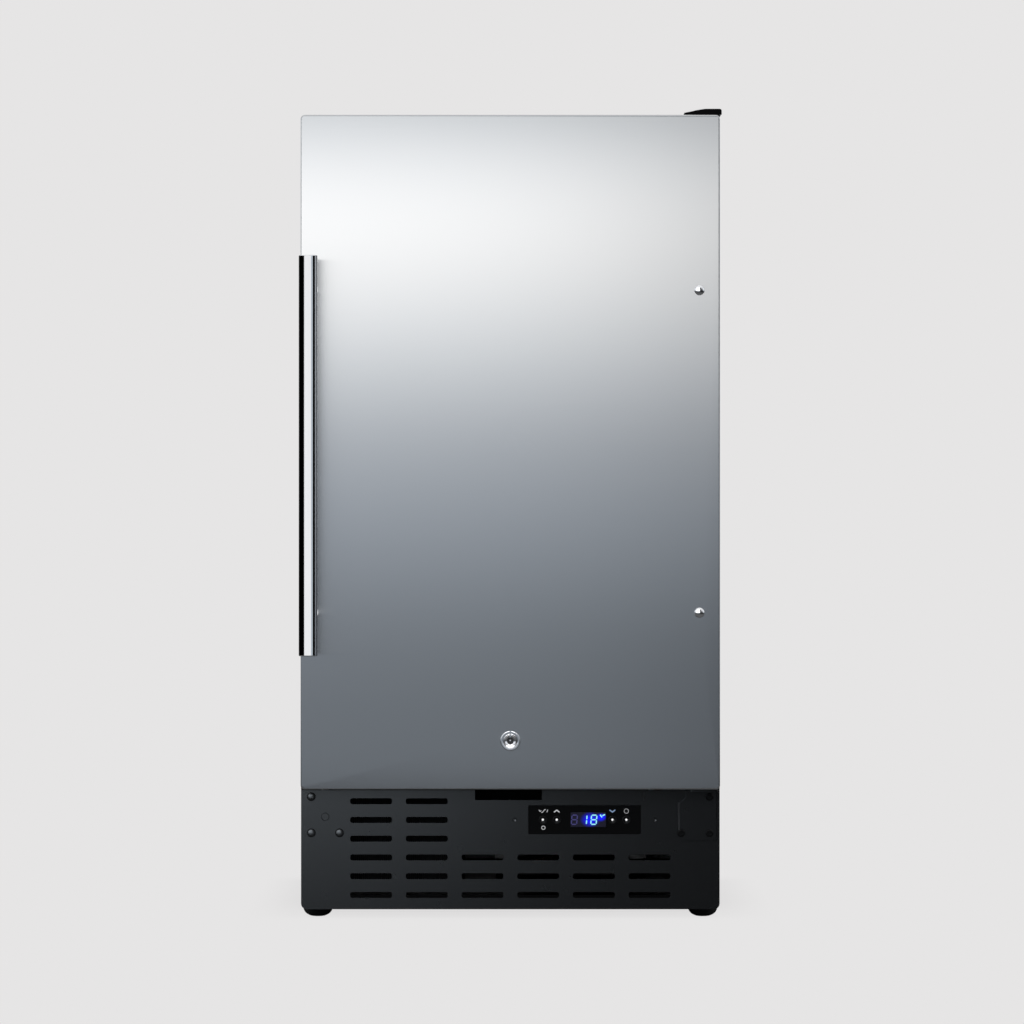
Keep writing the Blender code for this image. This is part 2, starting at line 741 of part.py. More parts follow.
def make_top_hinge():
    """A plate on the cabinet's top that carries the upper pin, under a moulded cap."""
    low, high = CABINET_TOP + CLEARANCE, CABINET_TOP + CLEARANCE + 0.0025
    arm = rounded(0.192, 0.2215, -0.260, -0.140, 0.004, 3)
    hinge = make_part("top_hinge", add_prism(bmesh.new(), "Z", arm, low, high), ZINC)
    pin = bmesh.new()
    add_cylinder(pin, "Z", (HINGE_X, HINGE_Y), PIN_RADIUS, DOOR_TOP - 0.015, high - 0.001, SMALL_ROUND)
    join(hinge, pin)


def make_top_hinge_cap():
    """The cap slopes down to the left and to the front, where a lip hangs before the hinge."""
    right, left = HALF_WIDTH, 0.1855
    round_corner = 0.002
    lip_bottom, seat = DOOR_TOP + 0.0004, CABINET_TOP + CLEARANCE
    front, crest, rear = -0.2635, -0.235, -0.135
    lip_back = front + 0.0022
    front_drop, left_drop = 0.0026, 0.0016

    def outline(bottom, top):
        corner = (right - round_corner, top - round_corner)
        points = [(right, bottom)]
        for step in range(4):
            angle = math.radians(30 * step)
            across = corner[0] + round_corner * math.cos(angle)
            points.append((across, corner[1] + round_corner * math.sin(angle)))
        slope = [(0.2085, top), (0.1985, top - left_drop), (left, CABINET_TOP + 0.0012)]
        return points + slope + [(left, bottom)]

    rows = [(lip_bottom, front), (lip_bottom, lip_back), (seat, lip_back + 0.0005)]
    rows += [(seat, crest), (seat, rear)]
    levels = []
    for bottom, depth in rows:
        drop = front_drop * max(crest - depth, 0) / (crest - front)
        levels.append((outline(bottom, HEIGHT - drop), depth))
    cap = make_part("top_hinge_cap", add_stack(bmesh.new(), "Y", levels), BLACK_GLOSS)
    room = bmesh.new()
    pocket_top = CABINET_TOP + 0.0034
    wall, right_wall, left_wall = 0.0015, 0.0020, 0.0057
    low = (left + left_wall, lip_back + 0.0007, lip_bottom - 0.01)
    add_box(room, low, (right - right_wall, rear - wall, pocket_top))
    carve(cap, room)


def make_bottom_hinge():
    """An angle bracket: screwed to the kick plate, with its shelf and pin under the door."""
    leaf = 0.0025
    back = CABINET_FACE - CLEARANCE
    front = back - leaf
    shelf_low, shelf_high = KICK_TOP + CLEARANCE, KICK_TOP + CLEARANCE + leaf
    left, right, bottom = 0.181, 0.222, 0.0838
    outline = [
        (right, bottom),
        (right, shelf_high),
        (left + 0.008, shelf_high),
        (left + 0.008, KICK_TOP - 0.008),
        (left, 0.122),
        (left, bottom + 0.006),
        (left + 0.0018, bottom + 0.0018),
        (left + 0.006, bottom),
    ]
    bracket = make_part(
        "bottom_hinge", add_prism(bmesh.new(), "Y", outline, front, back), BLACK_STEEL
    )
    shelf = rounded(left + 0.010, right, HINGE_Y - 0.012, back, 0.003, 3)
    join(bracket, add_prism(bmesh.new(), "Z", shelf, shelf_low, shelf_high))
    pin = bmesh.new()
    add_cylinder(
        pin, "Z", (HINGE_X, HINGE_Y), PIN_RADIUS, shelf_low + 0.001, DOOR_BOTTOM + 0.014, SMALL_ROUND
    )
    join(bracket, pin)


# Thermostat


def make_control_bezel():
    """The panel's face, with a wider flange behind the kick plate."""
    face = rounded_at(PANEL_X, PANEL_Z, PANEL_SIZE, 0.001, 2)
    flange = rounded_at(PANEL_X, PANEL_Z, (0.164, 0.034), 0.001, 2)
    flange_face = KICK_BACK + CLEARANCE
    levels = [(face, BEZEL_FACE), (face, flange_face), (flange, flange_face), (flange, BEZEL_BACK)]
    bezel = make_part("control_bezel", add_stack(bmesh.new(), "Y", levels), BLACK_PLASTIC)
    cuts = bmesh.new()
    front, behind = BEZEL_FACE - 0.002, BEZEL_BACK + 0.002
    for offset in BUTTON_OFFSETS:
        centre = (PANEL_X + offset, PANEL_Z)
        add_cylinder(cuts, "Y", centre, BUTTON_RADIUS + CLEARANCE, front, behind, SMALL_ROUND)
    width, height = DISPLAY_SIZE
    window = rounded_at(DISPLAY_X, PANEL_Z, (width + 2 * CLEARANCE, height + 2 * CLEARANCE), 0.0008, 2)
    add_prism(cuts, "Y", window, front, behind)
    carve(bezel, cuts)


def make_display():
    lens = rounded_at(DISPLAY_X, PANEL_Z, DISPLAY_SIZE, 0.0006, 2)
    make_part(
        "display_window", add_prism(bmesh.new(), "Y", lens, BEZEL_FACE + 0.0002, BEZEL_BACK), SMOKED
    )
    board_face, board_back = BEZEL_BACK + 0.0045, BEZEL_BACK + 0.0061
    outline = rounded_at(PANEL_X, PANEL_Z, (0.118, 0.028), 0.002, 2)
    board = make_part("control_board", add_prism(bmesh.new(), "Y", outline, board_face, board_back), BOARD)
    digits = rounded_at(DISPLAY_X, PANEL_Z, (0.034, 0.014), 0.0005, 2)
    join(board, add_prism(bmesh.new(), "Y", digits, BEZEL_BACK + CLEARANCE, board_face + 0.0004))


def make_buttons():
    """Domed caps, each with a retaining collar and a stem that reaches a switch."""
    names = ("light_button", "up_button", "down_button", "power_button")
    collar_face = BEZEL_BACK + CLEARANCE
    for name, offset in zip(names, BUTTON_OFFSETS):
        centre = (PANEL_X + offset, PANEL_Z)
        mover = make_mover(f"{name}_travel", (centre[0], BEZEL_BACK, centre[1]))
        profile = [
            (0, BEZEL_FACE - 0.0002),
            (BUTTON_RADIUS * 0.6, BEZEL_FACE),
            (BUTTON_RADIUS, BEZEL_FACE + 0.0005),
            (BUTTON_RADIUS, collar_face),
            (0.0054, collar_face),
            (0.0054, collar_face + 0.001),
            (0.0015, collar_face + 0.001),
            (0.0015, collar_face + 0.003),
        ]
        make_part(name, add_turned(bmesh.new(), "Y", centre, profile, SMALL_ROUND), BUTTON, mover)


# Feet


def make_feet():
    """Domed pads on threaded studs."""
    shoulder = CABINET_BOTTOM - CLEARANCE
    for row, depth in FOOT_ROWS:
        for name, side in (("left", -1), ("right", 1)):
            centre = (side * FOOT_X, depth)
            profile = [(FOOT_FLAT, 0), (0.0098, 0.0013), (0.0132, 0.0035), (0.0150, 0.0062)]
            profile += [(FOOT_RADIUS, shoulder), (0.004, shoulder), (0.004, 0.034)]
            mover = make_mover(f"{row}_{name}_foot_travel", (*centre, shoulder))
            foot = add_turned(bmesh.new(), "Z", centre, profile, SMALL_ROUND)
            make_part(f"{row}_{name}_foot", foot, RUBBER, mover)


# Machine base


def make_compressor():
    """A welded two-shell compressor on a mounting plate with rubber grommets."""
    centre = (0.070, 0.222)
    half_x, half_y = 0.078, 0.062
    low, seam, high = 0.034, 0.105, 0.182

    def shell(scale):
        ovals = circle(0, 0, 1, SMALL_ROUND)
        return [(centre[0] + half_x * scale * u, centre[1] + half_y * scale * v) for u, v in ovals]

    levels = [(shell(0.62), low), (shell(0.88), low + 0.010), (shell(0.98), low + 0.030)]
    levels += [(shell(0.98), seam - 0.002), (shell(1.03), seam), (shell(0.98), seam + 0.002)]
    levels += [(shell(0.96), high - 0.036), (shell(0.82), high - 0.012), (shell(0.5), high)]
    body = make_part("compressor", add_stack(bmesh.new(), "Z", levels), COMPRESSOR_BLACK)
    mounting = bmesh.new()
    plate = rounded_at(centre[0], centre[1], (0.176, 0.110), 0.010, 2)
    add_prism(mounting, "Z", plate, 0.0315, 0.0355)
    join(body, mounting)
    grommets = bmesh.new()
    for across in (-0.078, 0.078):
        for depth in (-0.046, 0.046):
            spot = (centre[0] + across, centre[1] + depth)
            add_cylinder(grommets, "Z", spot, 0.009, CABINET_BOTTOM + PLATE + CLEARANCE, 0.033, TINY_ROUND)
    join(body, grommets)
    starter = bmesh.new()
    low = (centre[0] - 0.105, centre[1] - 0.024, 0.070)
    add_box(starter, low, (centre[0] - 0.070, centre[1] + 0.024, 0.118))
    join(body, starter)

    wall = rounded_at(centre[0], centre[1], (0.150, 0.116), 0.012, 2)
    inside = rounded_at(centre[0], centre[1], (0.146, 0.112), 0.010, 2)
    base = high + CLEARANCE
    levels = [(wall, base), (wall, base + 0.026), (inside, base + 0.026), (inside, base + 0.002)]
    make_part("drain_pan", add_stack(bmesh.new(), "Z", levels), BLACK_PLASTIC)


def make_fin_coil(name, low, high, bend, rows, finish):
    """A finned block whose tube turns back on itself beyond both ends."""
    block = make_part(name, add_box(bmesh.new(), low, high), finish)
    depth = (low[1] + high[1]) / 2
    pitch = (high[2] - low[2]) / (rows + 1)
    tube = bend * 0.3
    for side, end in ((-1, low[0]), (1, high[0])):
        bends = bmesh.new()
        first = 1 if side > 0 else 2
        for row in range(first, rows, 2):
            centre = low[2] + pitch * (row + 0.5)
            rings = []
            for step in range(-1, 8):
                angle = math.radians(-90 + 180 * min(max(step, 0), 6) / 6)
                inward = -0.002 * side if step in (-1, 7) else 0.0
                outward = Vector((side * math.cos(angle), 0, math.sin(angle)))
                across = end + bend * outward.x + inward
                middle = Vector((across, depth, centre + pitch / 2 * outward.z))
                ring = []
                for corner in range(6):
                    turn = math.radians(60 * corner)
                    around = outward * math.cos(turn) + Vector((0, math.sin(turn), 0))
                    ring.append(bends.verts.new(middle + tube * around))
                rings.append(ring)
            for near, far in zip(rings, rings[1:]):
                for corner in range(6):
                    bends.faces.new((near[corner - 1], near[corner], far[corner], far[corner - 1]))
            bends.faces.new(rings[0])
            bends.faces.new(rings[-1])
        join(block, bends)


def make_blades(name, hub, radius, depth, mover, finish, count=5):
    """A hub on a Y axis with pitched blades."""
    across, middle, up = hub
    hub_radius = radius * 0.3
    half = depth / 2
    core = add_cylinder(bmesh.new(), "Y", (across, up), hub_radius, middle - half, middle + half, SMALL_ROUND)
    fan = make_part(name, core, finish, mover)
    blades = bmesh.new()
    thickness = 0.0012
    for blade in range(count):
        heading = 2 * math.pi * blade / count
        rings = []
        sections = ((hub_radius * 0.8, 0.5, 38), (radius * 0.65, 0.62, 30), (radius, 0.66, 24))
        for reach, chord, pitch in sections:
            half_chord = reach * chord * 0.7 if reach > hub_radius else hub_radius * 0.55
            slope = math.radians(pitch)
            ring = []
            for end, face in ((-1, -1), (1, -1), (1, 1), (-1, 1)):
                spread = end * half_chord * math.cos(slope)
                lift = end * min(half_chord * math.sin(slope), half * 0.9) + face * thickness / 2
                angle = heading + spread / reach
                ring.append(
                    blades.verts.new(
                        (across + reach * math.cos(angle), middle + lift, up + reach * math.sin(angle))
                    )
                )
            rings.append(ring)
        for near, far in zip(rings, rings[1:]):
            for corner in range(4):
                blades.faces.new((near[corner - 1], near[corner], far[corner], far[corner - 1]))
        blades.faces.new(rings[0])
        blades.faces.new(rings[-1])
    join(fan, blades)


def make_fan_motor(name, across, up, front, back, radius, arm_reach, arm_plane):
    """A round motor held by three arms that reach a plate in front of it."""
    motor = make_part(
        name, add_cylinder(bmesh.new(), "Y", (across, up), radius, front, back, SMALL_ROUND), BLACK_PLASTIC
    )
    arms = bmesh.new()
    for heading in (90, 210, 330):
        turn = math.radians(heading)
        out = Vector((math.cos(turn), 0, math.sin(turn)))
        side = Vector((-math.sin(turn), 0, math.cos(turn))) * 0.003
        hub = Vector((across, 0, up))
        thick = (arm_plane, arm_plane + 0.003)
        corners = []
        for depth in thick:
            for reach, way in ((radius * 0.5, -1), (arm_reach, -1), (arm_reach, 1), (radius * 0.5, 1)):
                corners.append(arms.verts.new(hub + out * reach + side * way + Vector((0, depth, 0))))
        near, far = corners[:4], corners[4:]
        for corner in range(4):
            arms.faces.new((near[corner - 1], near[corner], far[corner], far[corner - 1]))
        arms.faces.new(near)
        arms.faces.new(far)
    join(motor, arms)


def make_condenser():
    """A coil behind the tall slots, and the fan that draws air through it."""
    make_fin_coil("condenser_coil", (-0.190, -0.190, 0.030), (-0.060, -0.145, 0.128), 0.008, 5, COIL_BLACK)
    across, middle, up = CONDENSER_FAN
    plate = rounded(-0.200, -0.050, 0.026, 0.134, 0.003, 2)
    ring_front, ring_back = -0.128, -0.100
    shroud = make_part(
        "fan_shroud", add_prism(bmesh.new(), "Y", plate, ring_front, ring_front + PLATE), BLACK_STEEL
    )
    collar = bmesh.new()
    add_tube(collar, "Y", (across, up), 0.050, 0.0515, ring_front + 0.0004, ring_back)
    bore = add_cylinder(bmesh.new(), "Y", (across, up), 0.050, ring_front - 0.002, ring_front + 0.004)
    join(shroud, collar)
    carve(shroud, bore)
    spin = make_mover("condenser_fan_spin", CONDENSER_FAN)
    make_blades("condenser_fan_blade", CONDENSER_FAN, 0.047, 0.020, spin, BLACK_PLASTIC)
    arms_at = ring_back + CLEARANCE
    make_fan_motor("condenser_fan_motor", across, up, arms_at, -0.062, 0.022, 0.0515, arms_at)


def make_pipe(name, route, radius, finish):
    """A bent tube through the route's points."""
    curve = bpy.data.curves.new(name, "CURVE")
    curve.dimensions = "3D"
    curve.bevel_depth = radius
    curve.bevel_resolution = 1
    curve.use_fill_caps = True
    smooth = smooth_route([Vector(point) for point in route])
    spline = curve.splines.new("POLY")
    spline.points.add(len(smooth) - 1)
    for point, place in zip(spline.points, smooth):
        point.co = (*place, 1.0)
    curve.materials.append(finish)
    pipe = bpy.data.objects.new(name, curve)
    bpy.context.scene.collection.objects.link(pipe)


def smooth_route(points, steps=4):
    """Catmull-Rom points through the route."""
    ends = [2 * points[0] - points[1], *points, 2 * points[-1] - points[-2]]
    smooth = [points[0]]
    for before, start, end, after in zip(ends, ends[1:], ends[2:], ends[3:]):
        for step in range(1, steps + 1):
            t = step / steps
            smooth.append(
                0.5
                * (
                    2 * start
                    + (end - before) * t
                    + (2 * before - 5 * start + 4 * end - after) * t**2
                    + (3 * start - before - 3 * end + after) * t**3
                )
            )
    return smooth


def make_pipes():
    discharge = [
        (0.100, 0.148, 0.085),
        (0.100, 0.120, 0.085),
        (0.085, 0.060, 0.060),
        (0.020, -0.040, 0.045),
        (-0.030, -0.120, 0.050),
        (-0.040, -0.167, 0.055),
    ]
    make_pipe("discharge_line", discharge, 0.003, COPPER)
    suction = [
        (0.140, 0.146, 0.095),
        (0.150, 0.110, 0.100),
        (0.175, 0.090, 0.130),
        (0.180, 0.100, 0.170),
        (0.180, 0.105, 0.1905),
    ]
    make_pipe("suction_line", suction, 0.004, COPPER)


def make_power_inlet():
    """A socket for a detachable mains lead, with its flange behind the rear cover."""
    centre = (-0.130, 0.065)
    flange_back, flange_face = FOAM_BACK - 0.003, FOAM_BACK
    body = rounded_at(*centre, (0.0294, 0.022), 0.003, 2)
    flange = rounded_at(*centre, (0.046, 0.030), 0.003, 2)
    hollow = rounded_at(*centre, (0.0246, 0.0172), 0.002, 2)
    mouth = BACK - 0.0004
    levels = [
        (body, flange_back - 0.014),
        (body, flange_back),
        (flange, flange_back),
        (flange, flange_face),
        (body, flange_face),
        (body, mouth),
        (hollow, mouth),
        (hollow, mouth - 0.015),
    ]
    inlet = make_part("power_inlet", add_stack(bmesh.new(), "Y", levels), BLACK_PLASTIC)
    blades = bmesh.new()
    for across, up in ((-0.007, -0.001), (0.007, -0.001), (0.0, 0.001)):
        low = (centre[0] + across - 0.001, mouth - 0.016, centre[1] + up - 0.002)
        add_box(blades, low, (centre[0] + across + 0.001, mouth - 0.002, centre[1] + up + 0.002))
    join(inlet, blades)


# Cold side


def make_evaporator():
    """A fan-cooled coil behind a moulded cover on the compartment's back wall."""
    make_fin_coil("evaporator_coil", (-0.115, 0.240, 0.480), (0.115, 0.262, 0.655), 0.010, 7, FINS)
    across, middle, up = EVAPORATOR_FAN
    face, rim = 0.2285, LINER_BACK - CLEARANCE
    outer = rounded(-0.150, 0.150, 0.455, 0.800, 0.010)
    edge = rounded(-0.148, 0.148, 0.457, 0.798, 0.009)
    inner = rounded(-0.148, 0.148, 0.457, 0.798, 0.008)
    levels = [(edge, face), (outer, face + 0.002), (outer, rim), (inner, rim), (inner, face + 0.002)]
    cover = make_part("evaporator_cover", add_stack(bmesh.new(), "Y", levels), WHITE_PLASTIC)
    slots = bmesh.new()
    radius = 0.042
    for row in range(-4, 5):
        height = row * 0.009
        half = math.sqrt(radius**2 - height**2)
        slot = rounded_at(across, up + height, (2 * half, 0.005), 0.0024, 2)
        add_prism(slots, "Y", slot, face - 0.002, face + 0.006)
    for column in range(-5, 6):
        slot = rounded_at(column * 0.022, 0.475, (0.012, 0.018), 0.002, 2)
        add_prism(slots, "Y", slot, face - 0.002, face + 0.006)
    carve(cover, slots)
    spin = make_mover("evaporator_fan_spin", EVAPORATOR_FAN)
    make_blades("evaporator_fan_blade", EVAPORATOR_FAN, 0.040, 0.010, spin, WHITE_PLASTIC)
    front = middle + 0.0055
    make_fan_motor("evaporator_fan_motor", across, up, front, rim, 0.018, 0.052, rim - 0.003)


def make_light():
    lens = rounded(-0.060, 0.060, -0.130, -0.085, 0.006)
    small = rounded(-0.057, 0.057, -0.127, -0.088, 0.004)
    top = LINER_CEILING - CLEARANCE
    levels = [(small, top - 0.008), (lens, top - 0.005), (lens, top)]
    make_part("light_lens", add_stack(bmesh.new(), "Z", levels), LENS)


def make_shelves():
    """Toughened glass shelves on every second ledge."""
    side = LINER_HALF_WIDTH - 0.002
    for number, height in enumerate(ledge_heights()[::2], 1):
        low = height + CLEARANCE
        pane = rounded(-side, side, -0.190, 0.220, 0.006)
        shelf = add_prism(bmesh.new(), "Z", pane, low, low + 0.004)
        make_part(f"shelf_glass_{number}", shelf, GLASS)


make_door_skin()
make_door_foam()
make_door_liner()
make_door_gasket()
make_bushes()
make_handle()
make_handle_plugs()
make_lock()
make_shell()
make_base_pan()
make_foam()
make_liner()
make_front_frame()
make_lock_recess()
make_kick_plate()
make_corner_screws()
make_top_hinge()
make_top_hinge_cap()
make_bottom_hinge()
make_control_bezel()
make_display()
make_buttons()
make_feet()
make_compressor()
make_condenser()
make_pipes()
make_power_inlet()
make_evaporator()
make_light()
make_shelves()
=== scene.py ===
"""The looks of an undercounter refrigerator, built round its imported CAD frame.

Metres, +Z up. The door faces -Y, and +X is on the right of someone who faces it. Sizes and
places come from the frame's nodes. A piece that stands for CAD nodes rides on the same body."""

import math

import bmesh
import bpy
import numpy as np
from mathutils import Matrix, Vector


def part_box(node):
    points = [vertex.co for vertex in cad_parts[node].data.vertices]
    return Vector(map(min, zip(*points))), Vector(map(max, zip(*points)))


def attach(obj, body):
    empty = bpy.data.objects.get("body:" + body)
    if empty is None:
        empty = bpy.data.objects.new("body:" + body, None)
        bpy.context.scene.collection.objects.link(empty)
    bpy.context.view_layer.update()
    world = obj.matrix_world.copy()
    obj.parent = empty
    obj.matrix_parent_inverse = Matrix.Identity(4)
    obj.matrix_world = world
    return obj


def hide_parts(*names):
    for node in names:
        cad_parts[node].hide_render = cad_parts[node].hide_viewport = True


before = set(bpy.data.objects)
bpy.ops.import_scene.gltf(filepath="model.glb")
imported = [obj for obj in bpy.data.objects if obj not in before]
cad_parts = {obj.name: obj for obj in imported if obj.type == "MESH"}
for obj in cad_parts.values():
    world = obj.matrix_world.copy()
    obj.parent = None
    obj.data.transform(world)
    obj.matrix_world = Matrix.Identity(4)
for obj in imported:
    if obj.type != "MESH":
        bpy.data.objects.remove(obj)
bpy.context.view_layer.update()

# An extrusion's (across, up, along) as (x, y, z)
TURNS = {
    "X": Matrix(((0, 0, 1), (1, 0, 0), (0, 1, 0))),
    "Y": Matrix(((1, 0, 0), (0, 0, 1), (0, 1, 0))),
    "Z": Matrix.Identity(3),
}
ROUND = 96
SMALL_ROUND = 48
WELD_DISTANCE = 1e-5
# How far fittings stand off the door's face, and how thick printed marks are
SEAT = 0.0001
PRINT = 0.00004

# Camera
CAMERA_PLACE = (0.0018, -5.213, 0.4374)
SENSOR_WIDTH = 36.0
FACE_DISTANCE = 5.0
FRAME_WIDTH = 1.1033


# Outlines and solids


def centre_of(node):
    low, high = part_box(node)
    return (low + high) / 2


def axis_of(node):
    """A node's middle as seen from the front."""
    low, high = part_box(node)
    return (low.x + high.x) / 2, (low.z + high.z) / 2


def door_seat():
    """The plane on which the door's fittings sit."""
    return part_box("door_skin")[0].y - SEAT


def arc(centre, radius, start, end, steps=6):
    """Points on an arc from one angle to another, in degrees."""
    turns = (math.radians(start + (end - start) * step / steps) for step in range(steps + 1))
    return [(centre[0] + radius * math.cos(turn), centre[1] + radius * math.sin(turn)) for turn in turns]


def rounded(left, right, bottom, top, radius, steps=6):
    return (
        arc((right - radius, bottom + radius), radius, -90, 0, steps)
        + arc((right - radius, top - radius), radius, 0, 90, steps)
        + arc((left + radius, top - radius), radius, 90, 180, steps)
        + arc((left + radius, bottom + radius), radius, 180, 270, steps)
    )


def face_outline(low, high, inset, radius, steps):
    """The outline of a box seen from the front, drawn in by an inset."""
    return rounded(low.x + inset, high.x - inset, low.z + inset, high.z - inset, radius, steps)


def add_stack(bm, axis, levels, closed=False):
    """Skins a row of (outline, height) levels. An outline of one point is a tip."""
    turn = TURNS[axis]
    rings = []
    for outline, height in levels:
        rings.append([bm.verts.new(turn @ Vector((*point, height))) for point in outline])
    pairs = list(zip(rings, rings[1:]))
    if closed:
        pairs.append((rings[-1], rings[0]))
    for low, high in pairs:
        count = max(len(low), len(high))
        for step in range(count):
            after = (step + 1) % count
            if len(low) == 1:
                corners = (low[0], high[after], high[step])
            elif len(high) == 1:
                corners = (low[step], low[after], high[0])
            else:
                corners = (low[step], low[after], high[after], high[step])
            bm.faces.new(corners)
    if not closed:
        for ring in (rings[0], rings[-1]):
            if len(ring) > 2:
                bm.faces.new(ring)
    return bm


def add_prism(bm, axis, outline, low, high):
    return add_stack(bm, axis, [(outline, low), (outline, high)])


def add_box(bm, low, high):
    outline = [(low[0], low[1]), (high[0], low[1]), (high[0], high[1]), (low[0], high[1])]
    return add_prism(bm, "Z", outline, low[2], high[2])


def add_turned(bm, axis, centre, profile, steps=ROUND, closed=False):
    """Turns (radius, height) points round an axis through centre."""
    levels = []
    for radius, height in profile:
        outline = arc(centre, radius, 0, 360 * (steps - 1) / steps, steps - 1) if radius > 0 else [centre]
        levels.append((outline, height))
    return add_stack(bm, axis, levels, closed)


def add_stroke(bm, points, width, low, high):
    """A line of given width in the XZ plane, mitred at its corners."""
    sides = ([], [])
    for number, point in enumerate(points):
        before = Vector(points[max(number - 1, 0)])
        after = Vector(points[min(number + 1, len(points) - 1)])
        here = Vector(point)
        first = (here - before).normalized() if number else (after - here).normalized()
        second = (after - here).normalized() if number < len(points) - 1 else first
        along = (first + second).normalized()
        across = Vector((-along.y, along.x)) * (width / 2 / max(along.dot(first), 0.5))
        sides[0].append(tuple(here + across))
        sides[1].append(tuple(here - across))
    return add_prism(bm, "Y", sides[0] + sides[1][::-1], low, high)


def make_mesh(name, bm, materials, sharp=40):
    bmesh.ops.recalc_face_normals(bm, faces=bm.faces)
    mesh = bpy.data.meshes.new(name)
    bm.to_mesh(mesh)
    bm.free()
    for material in materials:
        mesh.materials.append(material)
    mesh.shade_smooth()
    mesh.set_sharp_from_angle(angle=math.radians(sharp))
    return mesh


def place(name, data):
    obj = bpy.data.objects.new(name, data)
    bpy.context.scene.collection.objects.link(obj)
    return obj


def flatten_normals(obj):
    """Lets the large faces keep straight reflections beside small rounded edges."""
    flat = obj.modifiers.new("flat", "WEIGHTED_NORMAL")
    flat.weight = 100
    flat.keep_sharp = True


def make_piece(name, bm, material, body, replaces=(), sharp=40):
    """A piece in the frame's coordinates, riding on a body."""
    piece = place(name, make_mesh(name, bm, [material], sharp))
    flatten_normals(piece)
    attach(piece, body)
    if replaces:
        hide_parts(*replaces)
    return piece


def carve(mesh, cutter):
    """Cuts a closed bmesh out of a mesh."""
    tool = place("cutter", make_mesh("cutter", cutter, []))
    work = place("carved", mesh)
    cut = work.modifiers.new("cut", "BOOLEAN")
    cut.operation = "DIFFERENCE"
    cut.object = tool
    bpy.context.view_layer.update()
    carved = bpy.data.meshes.new_from_object(work.evaluated_get(bpy.context.evaluated_depsgraph_get()))
    bpy.data.objects.remove(work)
    bpy.data.objects.remove(tool)
    carved.shade_smooth()
    carved.set_sharp_from_angle(angle=math.radians(35))
    return carved


def round_edges(obj, width, segments=3):
    """Softens an object's sharp edges without changing its own mesh."""
    weld = obj.modifiers.new("weld", "WELD")
    weld.merge_threshold = WELD_DISTANCE
    bevel = obj.modifiers.new("bevel", "BEVEL")
    bevel.width = width
    bevel.segments = segments
    bevel.limit_method = "ANGLE"
    bevel.angle_limit = math.radians(40)
    bevel.use_clamp_overlap = True
    bevel.harden_normals = True
    flatten_normals(obj)


# Materials


def map_range(tree, value, start, end, low=0.0, high=1.0):
    """Spreads a value that runs from start to end over low to high."""
    span = tree.nodes.new("ShaderNodeMapRange")
    for name, number in (("From Min", start), ("From Max", end), ("To Min", low), ("To Max", high)):
        span.inputs[name].default_value = number
    tree.links.new(value, span.inputs["Value"])
    return span.outputs[0]


class Finish:
    """A Principled material, with short calls for the nodes that feed it."""

    def __init__(self, name, color, roughness, **constants):
        self.material = bpy.data.materials.new(name)
        self.material.use_nodes = True
        self.tree = self.material.node_tree
        self.shader = self.tree.nodes["Principled BSDF"]
        self.place = self.node("ShaderNodeTexCoord").outputs["Object"]
        self.height = None
        self.set("Base Color", color)
        self.set("Roughness", roughness)
        for name, value in constants.items():
            self.set(name.replace("_", " ").title().replace("Ior", "IOR"), value)

    def node(self, kind, **settings):
        node = self.tree.nodes.new(kind)
        for key, value in settings.items():
            setattr(node, key, value)
        return node

    def feed(self, socket, value):
        if isinstance(value, bpy.types.NodeSocket):
            self.tree.links.new(value, socket)
        elif isinstance(value, tuple) and len(value) == 3 and len(socket.default_value) == 4:
            socket.default_value = (*value, 1.0)
        else:
            socket.default_value = value

    def set(self, name, value):
        self.feed(self.shader.inputs[name], value)

    def stretched(self, stretch):
        """The object's coordinates, multiplied along each axis."""
        mapping = self.node("ShaderNodeMapping")
        self.feed(mapping.inputs["Vector"], self.place)
        self.feed(mapping.inputs["Scale"], stretch)
        return mapping.outputs["Vector"]

    def noise(self, scale, stretch=(1, 1, 1), detail=2.0, rough=0.5):
        noise = self.node("ShaderNodeTexNoise")
        self.feed(noise.inputs["Vector"], self.stretched(stretch))
        self.feed(noise.inputs["Scale"], scale)
        self.feed(noise.inputs["Detail"], detail)
        self.feed(noise.inputs["Roughness"], rough)
        return noise.outputs["Fac"]

    def cells(self, scale, output="Distance"):
        cells = self.node("ShaderNodeTexVoronoi")
        self.feed(cells.inputs["Vector"], self.place)
        self.feed(cells.inputs["Scale"], scale)
        return cells.outputs[output]

    def waves(self, scale):
        """Even bands across X."""
        waves = self.node("ShaderNodeTexWave", bands_direction="X")
        self.feed(waves.inputs["Vector"], self.place)
        self.feed(waves.inputs["Scale"], scale)
        return waves.outputs["Fac"]

    def span(self, value, low, high, start=0.0, end=1.0):
        return map_range(self.tree, value, start, end, low, high)

    def mix(self, factor, first, second):
        mix = self.node("ShaderNodeMix", data_type="RGBA")
        for number, value in ((0, factor), (6, first), (7, second)):
            self.feed(mix.inputs[number], value)
        return mix.outputs[2]

    def math(self, operation, first, second=0.0):
        step = self.node("ShaderNodeMath", operation=operation)
        self.feed(step.inputs[0], first)
        self.feed(step.inputs[1], second)
        return step.outputs[0]

    def bump(self, height, depth, strength=1.0):
        """Adds a layer of relief, depth metres from its lowest to its highest point."""
        bump = self.node("ShaderNodeBump")
        self.feed(bump.inputs["Height"], height)
        self.feed(bump.inputs["Distance"], depth)
        self.feed(bump.inputs["Strength"], strength)
        if self.height:
            self.feed(bump.inputs["Normal"], self.height)
        self.height = bump.outputs["Normal"]
        self.set("Normal", self.height)


